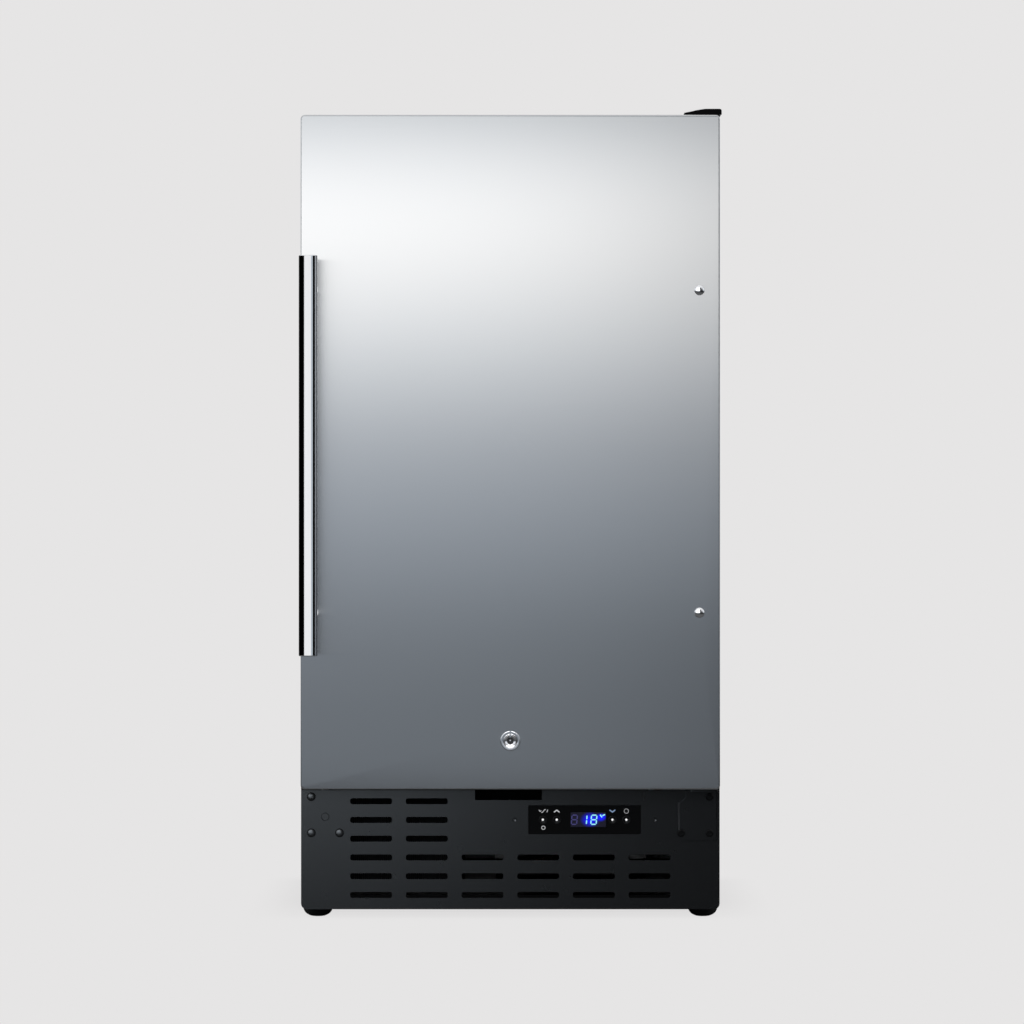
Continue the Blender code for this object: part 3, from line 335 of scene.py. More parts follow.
def stainless():
    """Sheet with a fine horizontal grain, as on the door's face."""
    steel = Finish("stainless", (0.62, 0.63, 0.64), 0.21, metallic=1.0, anisotropic=0.9)
    tangent = steel.node("ShaderNodeTangent", direction_type="RADIAL", axis="Z")
    steel.set("Tangent", tangent.outputs[0])
    fine = steel.noise(1.0, (9, 9, 2400), 3, 0.6)
    streaks = steel.noise(1.0, (3, 3, 520), 2, 0.5)
    grain = steel.math("ADD", steel.math("MULTIPLY", fine, 0.6), steel.math("MULTIPLY", streaks, 0.4))
    steel.set("Base Color", steel.mix(grain, (0.595, 0.605, 0.617), (0.645, 0.652, 0.66)))
    steel.set("Roughness", steel.span(grain, 0.195, 0.225))
    steel.bump(grain, 0.00002, 0.25)
    return steel.material


def chrome():
    """Polished plating with the faintest smears."""
    plate = Finish("chrome", (0.86, 0.87, 0.89), 0.06, metallic=1.0)
    smears = plate.noise(60, (1, 1, 0.3), 3)
    plate.set("Roughness", plate.span(smears, 0.035, 0.085))
    plate.set("Base Color", plate.mix(smears, (0.84, 0.85, 0.875), (0.89, 0.895, 0.91)))
    return plate.material


def powder_coat(name, base, roughness, specular):
    """Satin black coat with a faint change of tone and gloss."""
    color = (base, base * 1.06, base * 1.15)
    coat = Finish(name, color, roughness, specular_ior_level=specular)
    patches = coat.noise(9, detail=3)
    darker, lighter = (tuple(channel * share for channel in color) for share in (0.86, 1.14))
    coat.set("Base Color", coat.mix(patches, darker, lighter))
    coat.set("Roughness", coat.span(coat.noise(60), roughness - 0.01, roughness + 0.01))
    coat.bump(coat.noise(500, detail=1), 0.000001, 0.1)
    return coat.material


def zinc_sheet():
    """Galvanised sheet with its crystal spangle."""
    sheet = Finish("zinc_sheet", (0.55, 0.56, 0.56), 0.38, metallic=1.0)
    crystals = sheet.cells(170, output="Color")
    tone = sheet.node("ShaderNodeSeparateColor")
    sheet.feed(tone.inputs[0], crystals)
    sheet.set("Base Color", sheet.mix(tone.outputs[0], (0.64, 0.655, 0.665), (0.72, 0.73, 0.735)))
    sheet.set("Roughness", sheet.span(tone.outputs[1], 0.36, 0.46))
    sheet.bump(sheet.noise(700), 0.00003, 0.2)
    return sheet.material


def moulding(name, color, roughness, variation=0.12, grain=900, depth=0.00003, **constants):
    """Moulded plastic or rubber: slight changes of tone and a fine texture."""
    plastic = Finish(name, color, roughness, **constants)
    tone = plastic.noise(35, detail=3)
    darker = tuple(channel * (1 - variation) for channel in color)
    lighter = tuple(min(channel * (1 + variation), 1.0) for channel in color)
    plastic.set("Base Color", plastic.mix(tone, darker, lighter))
    plastic.set("Roughness", plastic.span(plastic.noise(220), roughness * 0.9, roughness * 1.12))
    plastic.bump(plastic.noise(grain, detail=1), depth, 0.3)
    return plastic.material


def foam_finish():
    foam = Finish("rigid_foam", (0.75, 0.68, 0.45), 0.9)
    bubbles = foam.cells(700)
    foam.set("Base Color", foam.mix(foam.noise(40, detail=4), (0.66, 0.57, 0.33), (0.82, 0.75, 0.52)))
    foam.bump(bubbles, 0.0006, 0.6)
    return foam.material


def metal(name, dark, light, roughness, scale=60):
    """Bare or painted metal with cloudy tarnish."""
    bare = Finish(name, light, roughness, metallic=1.0)
    cloud = bare.noise(scale, detail=5, rough=0.6)
    bare.set("Base Color", bare.mix(cloud, dark, light))
    bare.set("Roughness", bare.span(cloud, roughness * 1.25, roughness * 0.8))
    bare.bump(bare.noise(1200), 0.00002, 0.3)
    return bare.material


def fins(name, shade, edge, metallic):
    """Pressed fins: a coil block is shaded as close-set sheets across its tube."""
    stack = Finish(name, edge, 0.4, metallic=metallic)
    lines = stack.waves(140.0)
    stack.set("Base Color", stack.mix(lines, shade, edge))
    stack.bump(lines, 0.0008, 1.0)
    return stack.material


def glass():
    pane = Finish("shelf_glass", (0.86, 0.95, 0.92), 0.02, transmission_weight=1.0, ior=1.5)
    pane.set("Roughness", pane.span(pane.noise(25, detail=3), 0.0, 0.05))
    return pane.material


def lens_finish():
    lens = Finish("light_lens", (0.93, 0.94, 0.92), 0.35, subsurface_weight=0.3)
    ribs = lens.waves(90.0)
    lens.set("Base Color", lens.mix(ribs, (0.86, 0.88, 0.87), (0.96, 0.97, 0.95)))
    lens.set("Emission Color", (1.0, 0.97, 0.92))
    lens.set("Emission Strength", 3.0)
    lens.bump(ribs, 0.0004, 0.7)
    return lens.material


STAINLESS = stainless()
CHROME = chrome()
POWDER_COAT = powder_coat("powder_coat", 0.0031, 0.27, 0.25)
CABINET_COAT = powder_coat("cabinet_coat", 0.013, 0.42, 0.5)
ZINC = zinc_sheet()
GLOSS_BLACK = moulding("cap_gloss", (0.0012, 0.0012, 0.0014), 0.25, specular_ior_level=0.05)
# Painted shade: black parts inside, the base pan, fan shroud and lock notch, darkened to the shade behind
# the grille and in the notch
BLACK_AS_SHADE = moulding("black_as_inner_shade", (0.0016, 0.0016, 0.0018), 0.6, specular_ior_level=0.08)
PANEL_BLACK = moulding("panel_black", (0.0022, 0.0022, 0.0025), 0.34, specular_ior_level=0.15)
BLACK_PLASTIC = moulding("black_plastic", (0.005, 0.005, 0.0056), 0.4, specular_ior_level=0.15)
# Painted highlight: pale grey for the light caught along the edges of hinge leaf and joggle
EDGE_HIGHLIGHT = moulding("painted_edge_highlight", (0.1, 0.103, 0.108), 0.4)
SCREW_BLACK = moulding("screw_black", (0.006, 0.006, 0.0066), 0.26, specular_ior_level=0.5)
BUTTON = moulding("button", (0.004, 0.004, 0.005), 0.2, specular_ior_level=0.6)
RUBBER = moulding("foot_rubber", (0.004, 0.004, 0.004), 0.75, grain=1400, depth=0.00006)
VINYL = moulding("gasket_vinyl", (0.085, 0.086, 0.09), 0.5, sheen_weight=0.2)
FOAM = foam_finish()
WHITE = moulding("liner_white", (0.8, 0.815, 0.815), 0.3, 0.02, grain=500)
NYLON = moulding("nylon", (0.78, 0.77, 0.71), 0.4, 0.05)
GLASS = glass()
LENS = lens_finish()
FINS = fins("coil_fins", (0.18, 0.185, 0.19), (0.8, 0.81, 0.82), 1.0)
# Painted shade: the condenser's black fins made as dark as the shade behind the grille slots
FINS_AS_SHADE = fins("black_fins_as_shade", (0.0006, 0.0006, 0.0006), (0.004, 0.004, 0.0044), 0.0)
COPPER = metal("copper", (0.42, 0.17, 0.09), (0.76, 0.4, 0.26), 0.28)
# Painted shade: the compressor's enamel made near black, so it shows as shade through the slots
COMPRESSOR_AS_SHADE = moulding("compressor_shade_black", (0.0024, 0.0024, 0.0026), 0.5, specular_ior_level=0.08)
BOARD = moulding("solder_mask", (0.015, 0.14, 0.06), 0.35, 0.25, grain=300, depth=0.0001)
STUD = metal("stud_zinc", (0.42, 0.42, 0.4), (0.68, 0.68, 0.66), 0.3, 300)
PIN_STEEL = metal("key_pins", (0.35, 0.35, 0.36), (0.7, 0.7, 0.7), 0.25, 900)
KEYWAY = moulding("keyway_shade", (0.004, 0.004, 0.004), 0.5)

# Frame nodes that keep their shape: their material and the width of their rounded edges
KEPT = {
    STAINLESS: {"door_skin": 0.0002},
    CABINET_COAT: {
        "left_side_panel": 0.0003,
        "right_side_panel": 0.0003,
        "top_panel": 0.0003,
        "front_frame": 0.0003,
    },
    POWDER_COAT: {"kick_plate": 0.0003, "bottom_hinge": 0.0008},
    BLACK_AS_SHADE: {"lock_recess": 0.0003, "base_pan": 0.0003, "fan_shroud": 0.0003},
    ZINC: {"back_panel": 0.0002, "rear_cover": 0.0002, "top_hinge": 0.0004, "lock_cam": 0.0004},
    GLOSS_BLACK: {"top_hinge_cap": 0.0005},
    PANEL_BLACK: {"control_bezel": 0.0002},
    BLACK_PLASTIC: {
        "drain_pan": 0.0004,
        "power_inlet": 0.0003,
        "condenser_fan_motor": 0.0006,
        "condenser_fan_blade": 0.0003,
    },
    WHITE: {
        "door_liner": 0.0015,
        "inner_liner": 0.0015,
        "evaporator_cover": 0.0006,
        "evaporator_fan_motor": 0.0006,
        "evaporator_fan_blade": 0.0003,
    },
    FOAM: {"door_foam": 0.001, "cabinet_foam": 0.001},
    NYLON: {"hinge_bush_lower": 0.0003, "hinge_bush_upper": 0.0003},
    FINS: {"evaporator_coil": 0.0003},
    FINS_AS_SHADE: {"condenser_coil": 0.0003},
    COPPER: {"discharge_line": 0, "suction_line": 0},
    COMPRESSOR_AS_SHADE: {"compressor": 0.0006},
    BOARD: {"control_board": 0.0002},
    GLASS: {f"shelf_glass_{number}": 0.0006 for number in (1, 2, 3)},
    LENS: {"light_lens": 0.001},
}


def dress_frame():
    for material, nodes in KEPT.items():
        for name, width in nodes.items():
            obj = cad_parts[name]
            mesh = obj.data
            mesh.materials.clear()
            mesh.materials.append(material)
            if "custom_normal" in mesh.attributes:
                mesh.attributes.remove(mesh.attributes["custom_normal"])
            mesh.shade_smooth()
            if width:
                round_edges(obj, width, 2)
            else:
                obj.modifiers.new("weld", "WELD").merge_threshold = WELD_DISTANCE


# Door fittings


def make_handle():
    """The bar with its softened ends, and posts whose rosettes flare onto the door."""
    low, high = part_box("handle_bar")
    centre = ((low.x + high.x) / 2, (low.y + high.y) / 2)
    radius = (high.x - low.x) / 2
    soft = 0.0009
    inside = radius - soft
    profile = [(0, low.z), (inside * 0.5, low.z)]
    profile += arc((inside, low.z + soft), soft, -90, 0)
    profile += arc((inside, high.z - soft), soft, 0, 90)
    profile += [(inside * 0.5, high.z), (0, high.z)]
    bar = add_turned(bmesh.new(), "Z", centre, profile)
    make_piece("handle_tube", bar, CHROME, "door", ["handle_bar"])

    neck, bevel, flare, edge = 0.006, 0.001, 0.0024, 0.0006
    face = door_seat()
    rim = face - 0.0016
    for end in ("lower", "upper"):
        node = f"handle_post_{end}"
        low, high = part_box(node)
        collar = (high.x - low.x) / 2
        profile = [(0, low.y), (neck - bevel, low.y), (neck, low.y + bevel)]
        profile += arc((neck + flare, rim - flare), flare, 180, 90)
        profile += arc((collar - edge, rim + edge), edge, -90, 0, 4)
        profile += [(collar, face), (0, face)]
        post = add_turned(bmesh.new(), "Y", axis_of(node), profile, SMALL_ROUND)
        make_piece(f"handle_stand_{end}", post, CHROME, "door", [node])


def make_hole_plugs():
    """Chrome domes over the spare handle holes."""
    face, rim = door_seat(), 0.0006
    for end in ("lower", "upper"):
        node = f"handle_plug_{end}"
        low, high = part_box(node)
        radius = (high.x - low.x) / 2
        rise = face - low.y
        ball = (radius**2 + (rise - rim) ** 2) / (2 * (rise - rim))
        slope = math.degrees(math.asin(radius / ball))
        profile = [(0, face), (radius, face)]
        dome = arc((0, face - rise + ball), ball, slope - 90, -90, 12)
        profile += [(max(across, 0), along) for across, along in dome[:-1]] + [(0, low.y)]
        plug = add_turned(bmesh.new(), "Y", axis_of(node), profile, SMALL_ROUND)
        make_piece(f"hole_plug_{end}", plug, CHROME, "door", [node], 50)


def make_lock():
    """A tubular lock: stepped bright rings round an annular keyway with seven pins."""
    low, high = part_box("lock_barrel")
    centre = axis_of("lock_barrel")
    flange, body, bore = (high.x - low.x) / 2 - 0.0004, 0.009, 0.0063
    face, front = door_seat(), low.y
    lip, step = 0.0009, 0.0006
    profile = [(bore, high.y), (body, high.y), (body, face), (flange, face)]
    profile += arc((flange - lip, front + lip), lip, 0, -90)
    profile += [(bore + 0.0020, front), (bore + 0.0013, front + step)]
    profile += arc((bore + step, front + lip), step, 0, -90, 4)
    profile += [(bore, front + step)]
    barrel = add_turned(bmesh.new(), "Y", centre, profile, closed=True)
    ends, depths = (bore + 0.0008, flange + 0.001), (front - 0.001, front + 0.0007)
    make_notched("lock_ring", barrel, centre, ends, depths, "door", "lock_barrel")

    low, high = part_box("lock_plug")
    rim = (high.x - low.x) / 2
    keyway_outer, keyway_inner, keyway_depth, soft = 0.0036, 0.0010, 0.0045, 0.0003
    front, recess = low.y, 0.0012
    profile = [(0, high.y), (rim, high.y)]
    profile += arc((rim - soft, front + soft), soft, 0, -90, 4)
    profile += [(keyway_outer + 0.0002, front + recess), (keyway_outer, front + 0.0015)]
    profile += [(keyway_outer, front + keyway_depth), (keyway_inner, front + keyway_depth)]
    profile += arc((keyway_inner - soft, front + recess + soft), soft, 0, -90, 4) + [(0, front + recess)]
    plug = add_turned(bmesh.new(), "Y", centre, profile)
    ends, depths = (keyway_outer - 0.0006, rim + 0.001), (front - 0.001, front + keyway_depth)
    make_notched("lock_core_plug", plug, centre, ends, depths, "lock_core", "lock_plug")

    floor = front + 0.0032
    ring = [(keyway_inner + 0.0001, floor), (keyway_outer - 0.0001, floor)]
    ring += [(radius, floor + 0.0004) for radius, _ in ring[::-1]]
    shade = add_turned(bmesh.new(), "Y", centre, ring, closed=True)
    make_piece("keyway_floor", shade, KEYWAY, "lock_core")
    pins = bmesh.new()
    middle, pin, count = (keyway_inner + keyway_outer) / 2, 0.0005, 7
    for turn in range(count):
        angle = math.radians(90 + 360 * turn / count)
        spot = (centre[0] + middle * math.cos(angle), centre[1] + middle * math.sin(angle))
        profile = [(0, floor - 0.0004), (pin - 0.0001, floor - 0.0004), (pin, floor - 0.0002)]
        add_turned(pins, "Y", spot, profile + [(pin, floor), (0, floor)], 16)
    make_piece("key_pins", pins, PIN_STEEL, "lock_core")


def make_notched(name, bm, centre, ends, depths, body, node):
    """A turned piece with the key's notch at 12 o'clock, between two radii and two depths."""
    half = 0.0009
    low = (centre[0] - half, depths[0], centre[1] + ends[0])
    notch = add_box(bmesh.new(), low, (centre[0] + half, depths[1], centre[1] + ends[1]))
    piece = place(name, carve(make_mesh(name, bm, [CHROME]), notch))
    flatten_normals(piece)
    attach(piece, body)
    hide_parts(node)


def make_gasket():
    """A bellows seal: a magnet pocket at the front, a pleat, and ribs against the frame."""
    low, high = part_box("door_gasket")
    width, corner, least_corner = 0.012, 0.014, 0.002
    depth = high.y - low.y
    # How far each point of the wall is drawn in, and its share of the way back
    pleat = [(0.0016, 0.27), (0.0026, 0.36), (0.0014, 0.46), (0.0002, 0.55)]
    wall = [(0.0, 0.0), (0.0, 0.16), *pleat, (0.0, 0.62), (0.0, 0.96)]
    levels = [(inset, low.y + depth * share) for inset, share in wall]
    steps, margin, groove = 12, 0.0004, 0.0003
    for step in range(steps + 1):
        across = margin + (width - 2 * margin) * step / steps
        levels.append((across, high.y - (0.0 if step % 2 else groove)))
    levels += [(width - inset, low.y + depth * share) for inset, share in reversed(wall)]
    rings = []
    for inset, height in levels:
        outline = face_outline(low, high, inset, max(corner - inset, least_corner), 8)
        rings.append((outline, height))
    seal = add_stack(bmesh.new(), "Y", rings, closed=True)
    make_piece("gasket_seal", seal, VINYL, "door", ["door_gasket"], 30)


# Cabinet fittings

# Where the pressed blank sits on the kick plate, and how thick the hinge's leaf is
BLANK = (-0.1995, 0.1091)
LEAF = 0.0025


def screw_mesh(name, material, radius=0.0042, rise=0.0021, shank=0.004):
    """A pan head with a cross recess, at the origin, its head towards -Y."""
    soft = 0.0009
    profile = [(0, shank), (radius * 0.42, shank), (radius * 0.42, 0), (radius, 0), (radius, -rise * 0.35)]
    crown = arc((radius - soft, -rise * 0.45), soft, 0, -70, 6)
    profile += crown + [(radius * 0.45, -rise * 0.97), (0, -rise)]
    head = make_mesh(name, add_turned(bmesh.new(), "Y", (0, 0), profile, SMALL_ROUND), [material])
    cross = bmesh.new()
    blade, reach, taper = radius * 0.13, radius * 0.6, 0.45
    mouth, floor = -rise - 0.0005, -rise * 0.15
    for across, up, narrowing in ((reach, blade, (taper, 1)), (blade, reach, (1, taper))):
        wide = [(-across, -up), (across, -up), (across, up), (-across, up)]
        narrow = [(x * narrowing[0], z * narrowing[1]) for x, z in wide]
        add_stack(cross, "Y", [(wide, mouth), (narrow, floor)])
    return carve(head, cross)


def place_screw(name, mesh, spot, turn, replaces=()):
    screw = place(name, mesh)
    screw.rotation_euler = (0, math.radians(turn), 0)
    screw.location = spot
    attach(screw, "cabinet")
    if replaces:
        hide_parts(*replaces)


def make_front_screws():
    mesh = screw_mesh("black_pan_screw", SCREW_BLACK)
    flush = screw_mesh("hinge_leaf_screw", POWDER_COAT, rise=0.0012)
    kick_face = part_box("kick_plate")[0].y
    leaf_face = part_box("bottom_hinge")[1].y - LEAF
    for number, turn in enumerate((12, 50, 77), 1):
        node = f"corner_screw_{number}"
        spot = centre_of(node)
        name = f"corner_pan_screw_{number}"
        place_screw(name, mesh, (spot.x, kick_face, spot.z), turn, [node])
        name = f"hinge_leaf_screw_{number}"
        place_screw(name, flush, (-spot.x, leaf_face, spot.z), 90 - turn)
    small = screw_mesh("bezel_screw", SCREW_BLACK, 0.0024, 0.0012)
    middle, reach = centre_of("control_bezel"), 0.0755
    for number, side in enumerate((-1, 1), 1):
        spot = (middle.x + side * reach, kick_face, middle.z)
        place_screw(f"panel_screw_{number}", small, spot, 20 * number)


def make_front_marks():
    """Painted shade and highlights on the kick plate: a dark ring round the pressed blank, dark rings
    round the corner screws, and light strips along the edges of leaf and joggle.
    """
    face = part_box("kick_plate")[0].y
    front, back = face - PRINT, face

    def ring(name, across, up, inner, outer):
        profile = [(inner, front), (outer, front), (outer, back), (inner, back)]
        bm = add_turned(bmesh.new(), "Y", (across, up), profile, SMALL_ROUND, closed=True)
        make_piece(name, bm, PANEL_BLACK, "cabinet")

    # Painted shade: dark rings round the corner screws' heads
    for number in (1, 2, 3):
        spot = centre_of(f"corner_screw_{number}")
        ring(f"corner_screw_shade_ring_{number}", spot.x, spot.z, 0.0034, 0.0047)
    # Painted shade: a dark ring for the shaded edge of the pressed blank
    ring("blank_rim_shade", *BLANK, 0.0038, 0.0042)
    leaf_low, leaf_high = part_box("bottom_hinge")
    leaf_face = leaf_high.y - LEAF
    # Painted highlights: light strips along the hinge leaf's left edge and the joggle line
    for name, across, bottom, top, width, depth in (
        ("leaf_edge_highlight", leaf_low.x + 0.0006, 0.0906, 0.1250, 0.0009, leaf_face),
        ("joggle_edge_highlight", 0.1440, 0.1262, 0.1370, 0.0005, face),
    ):
        strip = bmesh.new()
        add_box(strip, (across - width / 2, depth - PRINT, bottom), (across + width / 2, depth, top))
        make_piece(name, strip, EDGE_HIGHLIGHT, "cabinet")


def make_rear_screws():
    """Zinc pan heads along the edges of the back panel and the rear cover."""
    mesh = screw_mesh("zinc_pan_screw", STUD, 0.0036, 0.0012, 0.001)
    number = 1
    for node, rows in (("back_panel", 4), ("rear_cover", 2)):
        low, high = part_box(node)
        margin = 0.012
        for row in range(rows):
            up = low.z + margin + (high.z - low.z - 2 * margin) * row / (rows - 1)
            for across in (low.x + margin, high.x - margin):
                screw = place(f"rear_screw_{number}", mesh)
                screw.rotation_euler = (0, 0, math.pi)
                screw.location = (across, high.y, up)
                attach(screw, "cabinet")
                number += 1


def make_feet():
    """Domed rubber pads with a moulded step, on threaded studs."""
    for row in ("front", "rear"):
        for side in ("left", "right"):
            node = f"{row}_{side}_foot"
            low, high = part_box(node)
            centre = ((low.x + high.x) / 2, (low.y + high.y) / 2)
            radius = (high.x - low.x) / 2
            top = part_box("base_pan")[0].z - 0.0003
            soft = 0.0012
            profile = [(0, 0.0004), (0.0038, 0.0004), (0.0050, 0), (0.0076, 0.0004)]
            profile += [(0.0098, 0.0013), (0.0117, 0.0023), (0.0132, 0.0035), (0.0143, 0.0048)]
            profile += [(0.0151, 0.0063), (radius, top - soft)]
            profile += arc((radius - soft, top - soft), soft, 0, 90, 4)
            profile += [(0, top)]
            pad = add_turned(bmesh.new(), "Z", centre, profile)
            make_piece(f"{node}_pad", pad, RUBBER, node, [node])
            stud, pitch = 0.004, 0.00125
            turns = int((high.z - top) / pitch)
            profile = [(0, top)]
            for thread in range(turns):
                start = top + thread * pitch
                profile += [(stud - 0.0006, start + pitch * 0.15), (stud, start + pitch * 0.55)]
            profile += [(stud - 0.0008, top + turns * pitch), (0, top + turns * pitch)]
            rod = add_turned(bmesh.new(), "Z", centre, profile, SMALL_ROUND)
            make_piece(f"{node}_stud", rod, STUD, node, sharp=25)


# Thermostat


def make_buttons():
    """Domed caps with a clear centre that glows white, a painted highlight."""
    radius, groove, eye, soft = 0.0044, 0.0031, 0.0011, 0.0005
    collar, stem = 0.0054, 0.0015
    for node in ("light_button", "up_button", "down_button", "power_button"):
        low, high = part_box(node)
        centre, front = axis_of(node), low.y
        collar_face, collar_back = high.y - 0.004, high.y - 0.003
        profile = [(0, front + 0.0012), (eye, front + 0.0012), (eye + 0.0002, front + 0.0005)]
        profile += [(groove - 0.0003, front + 0.0003), (groove, front + 0.0006)]
        profile += [(groove + 0.0003, front + 0.0001)]
        profile += arc((radius - soft, front + soft), soft, -90, 0, 4)
        profile += [(radius, collar_face), (collar, collar_face), (collar, collar_back)]
        profile += [(stem, collar_back), (stem, high.y), (0, high.y)]
        cap = add_turned(bmesh.new(), "Y", centre, profile, SMALL_ROUND)
        make_piece(f"{node}_cap", cap, BUTTON, node, [node])
        rim, rise = front + 0.0006, 0.0005
        dome = [(0, front + 0.0016), (eye, front + 0.0016), (eye, rim)]
        for turn in (30, 60):
            angle = math.radians(turn)
            dome.append((eye * math.cos(angle), rim - rise * math.sin(angle)))
        eye_piece = add_turned(bmesh.new(), "Y", centre, dome + [(0, front + 0.0001)], 24)
        make_piece(f"{node}_eye", eye_piece, EYE_GLINT, node)


def make_icons():
    """Printed marks beside the buttons, with a painted glow: a wave and a ring, two chevrons, and a ring.
    """
    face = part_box("control_bezel")[0].y
    back, front = face, face - PRINT
    light, up, down, power = (centre_of(f"{name}_button") for name in ("light", "up", "down", "power"))
    above = 0.0093
    line = 0.0007

    def mark(name, strokes, ink=PAINTED_GLOW_MARKS, width=line):
        bm = bmesh.new()
        for stroke in strokes:
            add_stroke(bm, stroke, width, front, back)
        make_piece(name, bm, ink, "cabinet", sharp=20)

    def ring(name, across, high, radius, width=line):
        outline = bmesh.new()
        profile = [(radius - width, front), (radius, front), (radius, back), (radius - width, back)]
        add_turned(outline, "Y", (across, high), profile, 32, closed=True)
        make_piece(name, outline, PAINTED_GLOW_MARKS, "cabinet")

    x, z = light.x + 0.0006, light.z + above
    zigzag = [(-0.0048, 0.0014), (-0.0036, -0.0004), (-0.0024, 0.0006)]
    slope = [(-0.0022, -0.0014), (-0.0010, -0.0014), (0.0014, 0.0016), (0.0024, 0.0016)]
    tick = [(0.0046, 0.0015), (0.0038, -0.0013)]
    mark("light_icon", [[(x + u, z + v) for u, v in stroke] for stroke in (zigzag, slope, tick)])
    ring("lamp_icon", light.x + 0.0006, light.z - 0.0086, 0.0022)
    chevron = [(-0.0030, -0.0012), (0, 0.0010), (0.0030, -0.0012)]
    mark("up_icon", [[(up.x + u, up.z + above + v) for u, v in chevron]], width=0.0012)
    mark("down_icon", [[(down.x + u, down.z + above - v) for u, v in chevron]], BLUE_PAINTED_GLOW_MARKS, 0.0012)
    ring("power_icon", power.x, power.z + above, 0.0026, 0.0004)


# The seven strokes of a digit on a grid one wide and two high
SEGMENTS = {
    "top": ((0, 2), (1, 2)),
    "upper_left": ((0, 1), (0, 2)),
    "upper_right": ((1, 1), (1, 2)),
    "middle": ((0, 1), (1, 1)),
    "lower_left": ((0, 0), (0, 1)),
    "lower_right": ((1, 0), (1, 1)),
    "bottom": ((0, 0), (1, 0)),
}
DIGIT_WIDTH = 0.0058
DIGIT_HEIGHT = 0.0099
DIGIT_LEAN = 0.09
DIGIT_STROKE = 0.0013


def add_digit(bm, centre, names, front, back):
    """Draws strokes of a leaning digit, each a long hexagon with a small gap at its ends."""
    gap, half = 0.0003, DIGIT_STROKE / 2
    for name in names:
        ends = []
        for across, up in SEGMENTS[name]:
            height = (up / 2 - 0.5) * DIGIT_HEIGHT
            sideways = centre[0] + (across - 0.5) * DIGIT_WIDTH + DIGIT_LEAN * height
            ends.append(Vector((sideways, centre[1] + height)))
        along = (ends[1] - ends[0]).normalized()
        side = Vector((-along.y, along.x)) * half
        start, stop = ends[0] + along * gap, ends[1] - along * gap
        near, far = start + along * half, stop - along * half
        outline = [start, near - side, far - side, stop, far + side, near + side]
        add_prism(bm, "Y", [tuple(point) for point in outline], front, back)
    return bm


def make_display():
    """A smoked window over a three-digit module that shows 18 and a degree mark."""
    low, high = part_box("display_window")
    middle = (low + high) / 2
    soft, corner = 0.0003, 0.0006
    insets = arc((soft, low.y + soft), soft, -90, -180, 4) + [(0, high.y)]
    levels = [(face_outline(low, high, inset, corner, 4), along) for inset, along in insets]
    window = add_stack(bmesh.new(), "Y", levels)
    finish = display_finish(middle)
    make_piece("display_lens", window, finish, "cabinet", ["display_window"])

    back, front = low.y, low.y - PRINT
    every = tuple(SEGMENTS)
    for name, offset, strokes, ink in (
        ("digit_unlit", -0.0150, every, DIM_SEGMENT_GLOW),
        ("digit_one", -0.0046, ("upper_right", "lower_right"), LIT),
        ("digit_eight", 0.0060, every, LIT),
    ):
        digit = add_digit(bmesh.new(), (middle.x + offset, middle.z), strokes, front, back)
        make_piece(name, digit, ink, "cabinet", sharp=20)
    degree = bmesh.new()
    x, z = middle.x + 0.0155, middle.z + 0.0040
    add_stroke(degree, [(x - 0.0028, z + 0.0014), (x - 0.0006, z - 0.0014)], DIGIT_STROKE, front, back)
    add_stroke(degree, [(x - 0.0002, z + 0.0004), (x + 0.0026, z + 0.0016)], DIGIT_STROKE, front, back)
    make_piece("degree_mark", degree, LIT, "cabinet", sharp=20)


def display_finish(middle):
    """Smoked plastic with the blue halo of the lit digits, which fades with distance."""
    window = Finish("smoked_window", (0.012, 0.012, 0.02), 0.12, coat_weight=0.3)
    halos = (
        ((middle.x + 0.0020, middle.z), (0.0165, 0.0130)),
        ((middle.x + 0.0155, middle.z + 0.0030), (0.0075, 0.0062)),
    )
    total = None
    for (across, up), (wide, tall) in halos:
        mapping = window.node("ShaderNodeMapping", vector_type="TEXTURE")
        window.feed(mapping.inputs["Vector"], window.place)
        window.feed(mapping.inputs["Location"], (across, 0, up))
        window.feed(mapping.inputs["Scale"], (wide, 1.0, tall))
        ball = window.node("ShaderNodeTexGradient", gradient_type="SPHERICAL")
        window.feed(ball.inputs["Vector"], mapping.outputs["Vector"])
        total = window.math("ADD", total, ball.outputs["Fac"]) if total else ball.outputs["Fac"]
    halo = window.span(total, 0, 1, 0.0, 0.85)
    halo = window.math("MULTIPLY", halo, window.span(total, 0, 1, 0.3, 0.7))
    window.set("Emission Color", window.mix(halo, (0.0055, 0.005, 0.013), (0.004, 0.008, 1.0)))
    window.set("Emission Strength", 1.1)
    return window.material


def glowing(name, color, strength):
    """A glowing surface with a faint random change of brightness: the lit segments, and the painted glow
    of the unlit segments, button eyes and printed marks.
    """
    glow = Finish(name, (0.02, 0.02, 0.03), 0.3)
    tone = glow.noise(900)
    dim = tuple(channel * 0.75 for channel in color)
    glow.set("Emission Color", glow.mix(tone, dim, color))
    glow.set("Emission Strength", strength)
    return glow.material


LIT = glowing("lit_segment", (0.35, 0.95, 1.0), 1.1)
# Painted glow: the unlit segments glow dim blue though no lamp lights them
DIM_SEGMENT_GLOW = glowing("unlit_segment_painted_glow", (0.10, 0.09, 0.34), 0.5)
# Painted highlight: the button eyes glow white in place of a glint
EYE_GLINT = glowing("button_eye_painted_glint", (0.95, 0.95, 0.95), 1.2)
# Painted glow: the white and blue printed marks glow to show brighter than print lit by the lamps
PAINTED_GLOW_MARKS = glowing("panel_marks_painted_glow", (0.95, 0.97, 1.0), 0.6)
BLUE_PAINTED_GLOW_MARKS = glowing("panel_marks_painted_glow_blue", (0.45, 0.65, 1.0), 0.5)


# Compartment


